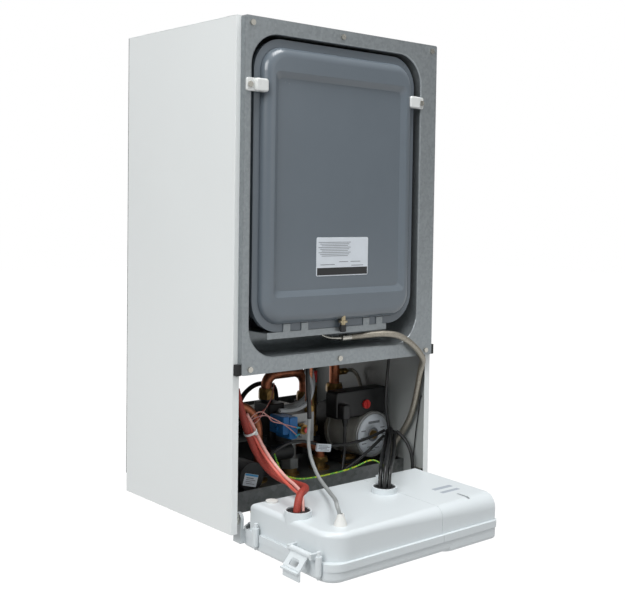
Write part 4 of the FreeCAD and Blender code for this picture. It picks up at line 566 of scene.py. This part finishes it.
# Cables and hoses inside the bay
BAY_CABLES = [
    ("loom_down", 173, 2.6, ((166, 66, 262), (163, 61, 222), (157, 60, 182), (159, 65, 138),
                             (168, 67, 108), (169.9, 65.3, 91.2))),
    ("loom_left", 272, 2.6, ((159.5, 66.5, 93.5), (118, 61, 86), (70, 60, 83), (22, 60, 87),
                             (-16, 62, 101), (-48, 63, 104), (-78, 70, 88), (-93, 84, 70))),
    ("loom_tray", 112, 2.6, ((158.3, 66.3, 84.8), (134, 62, 73), (104, 61, 57), (78, 63, 44),
                             (58, 66, 36))),
    ("pump_cable", 77, 2.6, ((80, 78, 115), (80, 78, 86), (76, 74, 62), (69, 70, 40))),
    ("loop_hose", 227, 4, ((-84, 162, 92), (-84, 162, 122), (-62, 180, 158), (-22, 196, 175),
                           (16, 206, 171), (48, 226, 156), (48, 226, 124))),
]
for name, length, radius, points in BAY_CABLES:
    fixed_cable(name, cabinet_route(*points), radius, BLACK_CABLE,
                "bay_cables")
DRAIN = cabinet_route((4, 150, 136), (30, 150, 136), (58, 150, 147), (67, 150, 174),
                      (57, 150, 202), (50, 150, 226), (50, 150, 260))
fixed_cable("drain_hose", DRAIN, 7, GREY_RUBBER, "condensate_hose")

# Braided hose from the vessel to the return side
HOSE = cabinet_route((23, 5.5, 271), (38, 5.5, 271), (58, -2, 273), (82, -11.5, 274.5),
                     (108, -18, 271), (131, -20.5, 258.5), (150, -20, 244),
                     (162.5, -18.8, 231.5), (173.5, -10.5, 222), (182, 1.5, 211.5),
                     (186, 9, 196), (187, 14, 175),
                     (187.8, 21, 148), (188.5, 31.5, 120), (188.3, 47, 95), (187.4, 64, 75),
                     (187, 73, 60), (187, 73, 43.5))
hose_line = centre_line(HOSE, 40)
braided_hose = tube("braided_hose", hose_line, 5.0 * MM, BRAID, sides=72,
                    relief=woven(16, 2.6 * MM, 0.5 * MM))
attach(braided_hose, "chassis")
declare(["vessel_hose"])


# Small fittings

# Steps round a plate's corner, the layers of a raised bar, and the section of a tie's band
CORNER_STEPS = 5
BAR_LAYERS = ((0, 0), (0.12, 0), (0.16, 0.05))
TIE_HALF_WIDTH = 1.6
TIE_EDGE = 1.1
TIE_MIDDLE = 1.3


def loft(name, rings, material, body, smooth=False, around=False):
    """A closed surface through rings of points; around joins the last ring to the first.

    The body is the one that it rides with, or bend for a piece that stays in place and rides with no
    body.
    """
    count = len(rings[0])
    last = len(rings) - 1
    pairs = [(ring, ring + 1) for ring in range(last)] + ([(last, 0)] if around else [])
    faces = []
    for lower, upper in pairs:
        for step in range(count):
            after = (step + 1) % count
            faces.append((lower * count + step, lower * count + after,
                          upper * count + after, upper * count + step))
    if not around:
        faces.append(tuple(reversed(range(count))))
        faces.append(tuple(range(last * count, (last + 1) * count)))
    piece = add_mesh(name, [point for ring in rings for point in ring], faces, material, smooth)
    if body == "bend":
        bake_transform(piece)
    else:
        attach(piece, body)


def sheet_axes(across, up):
    """Two square directions in a plate and the one out of its face."""
    across = Vector(across).normalized()
    up = Vector(up)
    up = (up - across * up.dot(across)).normalized()
    return across, up, across.cross(up)


def rounded_plate(name, back, across, up, half_wide, half_tall, corner, thick, material,
                  body="chassis"):
    """A plate with rounded corners and eased front edges, from the middle of its back."""
    across, up, out = sheet_axes(across, up)
    ease = min(thick * 0.4, corner * 0.5)
    rings = []
    for inset, height in ((0, 0), (0, thick - ease), (ease, thick)):
        ring = []
        for quarter in range(4):
            middle_x = (half_wide - corner) * (1 if quarter in (0, 3) else -1)
            middle_y = (half_tall - corner) * (1 if quarter in (0, 1) else -1)
            for step in range(CORNER_STEPS + 1):
                angle = (quarter + step / CORNER_STEPS) * math.pi / 2
                x = middle_x + (corner - inset) * math.cos(angle)
                y = middle_y + (corner - inset) * math.sin(angle)
                ring.append(back + (across * x + up * y + out * height) * MM)
        rings.append(ring)
    loft(name, rings, material, body)


def printed_bars(name, back, across, up, bars, material, body="chassis"):
    """Plain raised bars on a face, from the middle and half sizes of each."""
    across, up, out = sheet_axes(across, up)
    vertices = []
    faces = []
    for x, y, half_wide, half_tall in bars:
        start = len(vertices)
        for height, inset in BAR_LAYERS:
            for side_x, side_y in ((-1, -1), (1, -1), (1, 1), (-1, 1)):
                vertices.append(back + (across * (x + side_x * (half_wide - inset))
                                        + up * (y + side_y * (half_tall - inset))
                                        + out * height) * MM)
        for layer in (0, 4):
            for step in range(4):
                after = (step + 1) % 4
                faces.append((start + layer + step, start + layer + after,
                              start + layer + 4 + after, start + layer + 4 + step))
        faces.append((start + 3, start + 2, start + 1, start))
        faces.append((start + 8, start + 9, start + 10, start + 11))
    piece = add_mesh(name, vertices, faces, material, smooth=False)
    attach(piece, body)


def lathe(name, foot, axis, profile, material, body="chassis", hollow=False, steps=56):
    """A turned piece from a profile of radius and height along its axis."""
    axis = Vector(axis).normalized()
    side = axis.orthogonal().normalized()
    other = axis.cross(side)
    rings = []
    for radius, height in profile:
        rings.append([foot + (axis * height + (side * math.cos(turn) + other * math.sin(turn))
                              * radius) * MM
                      for turn in (2 * math.pi * step / steps for step in range(steps))])
    loft(name, rings, material, body, smooth=True, around=hollow)


def thin_wire(name, points, radius, material):
    """A thin wire or hose with both ends in the cabinet."""
    route = cabinet_route(*points)
    piece = round_cable(name, route, radius, material, 3)


FRONT = (0, -1, 0)
RIGHT = (1, 0, 0)
UP = (0, 0, 1)

# Pump: a blank round label with a cast rim, and a ring round the vent screw
PUMP = place(150, 85, 85)
lathe("pump_rim", PUMP, FRONT, ((35.2, -0.5), (35.2, 1.0), (36.0, 1.8), (38.6, 1.8),
                                (39.8, 1.0), (39.8, -0.5)), CAST, hollow=True)
lathe("pump_label", PUMP, FRONT, ((10.5, -0.2), (10.5, 0.4), (35.2, 0.4), (35.2, -0.2)),
      LABEL, hollow=True)
lathe("pump_label_ring", PUMP, FRONT, ((9.0, -0.2), (9.0, 0.8), (10.2, 1.1), (12.2, 0.8),
                                       (12.2, -0.2)), LABEL_INK, hollow=True)
printed_bars("pump_label_bars", place(150, 84.6, 85), RIGHT, UP,
             ((2, 21, 13, 2.2), (-22, 8, 5, 1.0), (-24, -4, 4, 0.9), (22, 10, 5, 0.9),
              (24, -2, 4, 0.9), (-20, -14, 5, 0.9), (-6, -21, 7, 0.9), (9, -24, 5, 0.9),
              (20, -13, 4, 0.9), (0, -28, 6, 0.8)), LABEL_INK)

# Blank label on the vessel, one on the diverter motor and a flag round a cable
rounded_plate("vessel_label", place(-7.3, -11.98, 400), RIGHT, UP, 52, 29.5, 2.5, 0.4, LABEL)
LINES = [(-16, 22 - 2.6 * row, 32 - 3 * (row % 3), 0.42) for row in range(9)]
LINES += [(-30, -12, 14, 0.5), (2, -8, 9, 0.5), (26, -8, 10, 0.5), (30, -14, 12, 0.5)]
printed_bars("vessel_label_lines", place(-7.3, -12.38, 400), RIGHT, UP, LINES, LABEL_INK)
printed_bars("vessel_label_foot", place(-7.3, -12.38, 400), RIGHT, UP, ((0, -22.4, 50.5, 5.6),),
             BLACK_RUBBER)
MOTOR_ACROSS = (0.96, 0, -0.28)
MOTOR_UP = (0.28, 0, 0.96)
rounded_plate("motor_label", place(-117, 70.02, 52.5), MOTOR_ACROSS, MOTOR_UP, 13, 9.5, 1.0, 0.3,
              LABEL)
printed_bars("motor_label_band", place(-117, 69.72, 52.5), MOTOR_ACROSS, MOTOR_UP,
             ((0, 7.6, 12.4, 1.5),), LABEL_BLUE)
printed_bars("motor_label_lines", place(-117, 69.72, 52.5), MOTOR_ACROSS, MOTOR_UP,
             ((-2, 3.0, 7, 0.8), (0, 0.2, 9, 0.5), (-3, -2.6, 6, 0.5), (1, -5.4, 8, 0.5)),
             LABEL_INK)
FLAG_ACROSS = (0.985, 0, -0.17)
FLAG_UP = (0.17, 0, 0.985)
rounded_plate("cable_flag", place(17, 58.5, 86), FLAG_ACROSS, FLAG_UP, 15, 6.2, 1.0, 3.4, LABEL)
printed_bars("cable_flag_lines", place(17, 55.1, 86), FLAG_ACROSS, FLAG_UP,
             ((-2, 3.2, 10, 0.5), (0, 1.0, 11, 0.5), (-3, -1.2, 9, 0.5), (2, -3.4, 9, 0.5)),
             LABEL_INK)

# Grey bars on the control box's cover
BOX_UP = (0, math.cos(BOX_TILT), math.sin(BOX_TILT))
printed_bars("cover_bars", on_box(120, -139, 25.95), RIGHT, BOX_UP,
             ((1.5, 9, 20, 4.4), (0, -9, 19.5, 3.8)), COVER_PRINT, "control_box")

# Ties round the two looms

def tie(name, middle, axis, radius, head, material):
    """A cable tie: its band and its square head."""
    band = [(radius, -TIE_HALF_WIDTH), (radius + TIE_EDGE, -TIE_HALF_WIDTH),
            (radius + TIE_MIDDLE, 0), (radius + TIE_EDGE, TIE_HALF_WIDTH),
            (radius, TIE_HALF_WIDTH)]
    lathe(name, middle, axis, band, material, "bend", hollow=True)
    rounded_plate(name + "_head", head, RIGHT, axis, 2.6, 2.4, 0.7, 4.2, material, "bend")


tie("white_tie", place(-148.3, 28, 139), (0.43, 0.05, -0.9), 9.2, place(-142, 21, 137),
    CLIP_PLASTIC)
tie("black_tie", place(169.3, 60.5, 91.5), (0.1, -0.1, 1.0), 8.2, place(171, 53, 92),
    BLACK_CABLE)

# Thin wires from the tie to the gas regulator and up to the copper bend
thin_wire("regulator_wire_pale", ((-137.5, 49.5, 144.5), (-133, 50.3, 153), (-125, 51, 159.5),
                                  (-110.3, 52, 162.5), (-93.8, 58, 151), (-71, 66, 140.5),
                                  (-50.6, 71, 129.6), (-29.6, 76, 114.7), (-20, 80, 107)),
          0.9, PALE_LEAD)
thin_wire("regulator_wire_pink", ((-134.7, 50, 144.8), (-131, 50, 151.5), (-120, 50.5, 154.8),
                                  (-96, 56, 154), (-85, 62, 141), (-62.8, 68, 134.5),
                                  (-33.7, 74, 124.4), (-19.5, 80, 119.5)),
          0.9, THIN_PINK)
thin_wire("pipe_wire_red", ((-135.5, 50, 142), (-127.5, 50, 147), (-117, 52, 153),
                            (-103.9, 62, 158), (-72.6, 90, 158), (-35.3, 130, 159),
                            (-12, 155, 168), (-4.6, 163, 178)),
          0.9, THIN_RED)
thin_wire("pipe_wire_pale", ((-135, 50, 142.5), (-124.5, 50, 144.7), (-115, 51, 150),
                             (-102.5, 61, 155), (-73, 88, 161), (-37, 128, 161),
                             (-14, 153, 170), (-6, 162, 180)),
          0.7, PALE_LEAD)
for name, spot, aim in (("upper", (-20.5, 80, 119.6), (1, -0.15, -0.12)),
                        ("lower", (-21, 80, 107.2), (1, -0.1, 0.25))):
    lathe(f"wire_tip_{name}", place(*spot), aim, ((1.2, -2), (1.9, -1.4), (1.9, 3.2), (1.4, 4.2),
                                                 (1.4, 7)), CYAN_PLASTIC)
lathe("regulator_cap", place(-6, 72.5, 115), FRONT, ((4.8, -1), (4.8, 1.6), (4.3, 2.4),
                                                     (1.6, 2.6), (1.2, 1.8)),
      ROSE_CAP)

# Black sleeve on the upper part of the sensor cable
SENSOR_SLEEVE_FOOT = 142
sleeve_line = [spot for spot in centre_line(SENSOR_ROUTE)
               if spot.z > place(0, 0, SENSOR_SLEEVE_FOOT).z]
sensor_sleeve = tube("sensor_sleeve", sleeve_line, 3.5 * MM, BLACK_CABLE)
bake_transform(sensor_sleeve)

# Thin hose from the pump's pipe to the back, and the capillary on the right wall
lathe("bleed_fitting", place(150, 180, 181), RIGHT,
      ((4, 0), (6.5, 0.6), (6.5, 7), (5.2, 7.6), (5.2, 10), (6.3, 10.6), (6.3, 18), (3.6, 19.4),
       (3.6, 22)), BRASS, steps=6)
thin_wire("bleed_hose", ((169, 180, 181), (177, 180, 182.5), (185, 178, 181), (189, 173, 173),
                         (190, 166, 160), (188, 158, 146)), 3.3, BRAID)
thin_wire("vent_hose", ((3, 88, 208), (12, 88, 194), (17, 87, 177), (10, 86, 159), (-5, 86, 150),
                        (-28, 86, 147), (-50, 87, 150)), 3.6, GREY_RUBBER)
thin_wire("capillary", ((197, 14, 157), (195.6, 17, 155), (195.6, 20, 131), (195.6, 26.4, 92),
                        (195.6, 32, 42)), 0.9, BLACK_CABLE)


# Finishes of the parts that are carried over from the frame

# Points closer than this are one, and edges sharper than this are eased
WELD_DISTANCE = 0.002
SHARP_EDGE = math.radians(40)


def dress(material, *names, edge=0.0):
    """Give frame parts their finish, and ease their sharp edges by a width in millimetres."""
    for name in names:
        piece = nodes[name]
        piece.data.materials.clear()
        piece.data.materials.append(material)
        if edge:
            weld = piece.modifiers.new("weld", "WELD")
            weld.merge_threshold = WELD_DISTANCE * MM
            bevel = piece.modifiers.new("eased_edges", "BEVEL")
            bevel.width = edge * MM
            bevel.segments = 2
            bevel.limit_method = "ANGLE"
            bevel.angle_limit = SHARP_EDGE
            bevel.use_clamp_overlap = True
            bevel.harden_normals = True


dress(PANEL_PAINT, "left_side_panel", "right_side_panel", "top_panel", edge=0.5)
dress(WHITE_PLASTIC, "flue_duct", "flue_socket")
dress(ZINC, "vessel_panel", "vessel_support_bracket")
dress(ZINC_DARK, "back_frame", "bottom_tray")
dress(STEEL, "panel_screws", "vessel_hose_fitting", "plate_heat_exchanger",
      "diverter_spindle", "hinge_brackets")
# Black foam on the edge seals: real blocks at the vessel panel's foot, and a strip up the panel's side
# that is a painted shadow for the gap there
dress(SEAL_FOAM_AND_GAP_SHADOW, "edge_seals")
dress(VESSEL_PAINT, "vessel_front_shell", "vessel_rear_shell", "vessel_clamp_band")
dress(WHITE_PLASTIC, "fascia_shell", "rear_cover", "connection_cover", "control_latch",
      "heating_knob", "water_knob")
dress(CLIP_PLASTIC, "vessel_clips")
dress(DARK_PLASTIC, "vessel_valve_cap", "condensate_trap", "flow_manifold", "diverter_motor",
      "return_manifold", "pump_terminal_box", "pump_plug", "pump_impeller", "fan_impeller")
dress(BLUE_PLASTIC, "gas_valve_coils")
dress(RED_PLASTIC, "pump_speed_knob", "relief_valve_knob")
dress(ENTRY_PARTS, "cable_grommets")
dress(BLACK_RUBBER, "vessel_diaphragm")
dress(NICKEL, "vessel_charging_valve")
dress(BRASS, "bottom_nipples", "pipe_nuts", "gas_regulator",
      "pump_vent_screw", "relief_valve")
dress(COPPER, "copper_pipes")
dress(CAST, "heat_exchanger_body", "burner", "fan_housing", "gas_valve_body")
dress(PUMP_PAINT, "pump_motor")
dress(BOARD, "circuit_board")
dress(LENS, "display_lens")


# Floor, background and light

# The floor in metres, how pale it is, and how bright the surroundings are
FLOOR_Z = -1.15
FLOOR_REACH = 12
FLOOR_GREY = 0.42
WHITE_GLOW = 1.13
WHITE_SHARE = 0.9
SKY_FOOT = 0.12
SKY_HEAD = 0.46


def backdrop_finish():
    """Pale grey to the light, white to the eye and in reflections, and still shaded."""
    surface = Surface("pale_floor")
    shader = surface.shader
    shader.inputs["Base Color"].default_value = (FLOOR_GREY, FLOOR_GREY, FLOOR_GREY, 1)
    shader.inputs["Roughness"].default_value = 0.8
    rays = surface.add("ShaderNodeLightPath")
    seen = surface.join("MAXIMUM", rays.outputs["Is Camera Ray"], rays.outputs["Is Glossy Ray"])
    clear = surface.join("MAXIMUM", seen, rays.outputs["Is Transmission Ray"])
    white = surface.add("ShaderNodeEmission", Strength=WHITE_GLOW)
    scaled = surface.add("ShaderNodeMath", operation="MULTIPLY")
    scaled.inputs[1].default_value = WHITE_SHARE
    surface.link(clear, scaled.inputs[0])
    mixed = surface.add("ShaderNodeMixShader")
    surface.link(scaled.outputs["Value"], mixed.inputs["Fac"])
    surface.link(shader.outputs["BSDF"], mixed.inputs[1])
    surface.link(white.outputs["Emission"], mixed.inputs[2])
    output = surface.tree.nodes["Material Output"]
    surface.link(mixed.outputs["Shader"], output.inputs["Surface"])
    return surface.material


def add_floor():
    """One flat sheet, wide enough to fill every view."""
    corners = [(x * FLOOR_REACH, y * FLOOR_REACH, FLOOR_Z)
               for x, y in ((-1, -1), (1, -1), (1, 1), (-1, 1))]
    floor = add_mesh("floor", corners, [(0, 1, 2, 3)], backdrop_finish(), smooth=False)


def set_world():
    """White to the eye, and as a light dim, brighter from above than from below."""
    world = bpy.data.worlds.new("studio")
    world.use_nodes = True
    bpy.context.scene.world = world
    tree = world.node_tree
    link = tree.links.new
    background = tree.nodes["Background"]
    background.inputs["Color"].default_value = (1, 1, 1, 1)
    rays = tree.nodes.new("ShaderNodeLightPath")
    place_on_sky = tree.nodes.new("ShaderNodeTexCoord")
    split = tree.nodes.new("ShaderNodeSeparateXYZ")
    link(place_on_sky.outputs["Generated"], split.inputs["Vector"])
    height = tree.nodes.new("ShaderNodeMapRange")
    height.inputs["From Min"].default_value = -0.2
    height.inputs["From Max"].default_value = 0.3
    height.inputs["To Min"].default_value = SKY_FOOT
    height.inputs["To Max"].default_value = SKY_HEAD
    link(split.outputs["Z"], height.inputs["Value"])
    strength = tree.nodes.new("ShaderNodeMapRange")
    link(height.outputs["Result"], strength.inputs["To Min"])
    strength.inputs["To Max"].default_value = 1.0
    link(rays.outputs["Is Camera Ray"], strength.inputs["Value"])
    link(strength.outputs["Result"], background.inputs["Strength"])


def add_lamp(name, spot, target, size, power):
    """A large soft area lamp that faces a point."""
    data = bpy.data.lights.new(name, "AREA")
    data.shape = "RECTANGLE"
    data.size, data.size_y = size
    data.energy = power
    lamp = bpy.data.objects.new(name, data)
    lamp.location = spot
    lamp.rotation_euler = (Vector(target) - Vector(spot)).to_track_quat("-Z", "Y").to_euler()
    bpy.context.scene.collection.objects.link(lamp)


add_floor()
set_world()
MIDDLE = (0, -0.3, -0.35)
add_lamp("key", (-2.8, -1.3, 1.4), MIDDLE, (1.6, 1.8), 68)
add_lamp("overhead", (0.1, -1.0, 2.1), MIDDLE, (1.6, 1.2), 50)
add_lamp("fill", (0.6, -2.8, 0.3), MIDDLE, (2.0, 1.6), 6)
bpy.context.scene.view_settings.view_transform = "Standard"
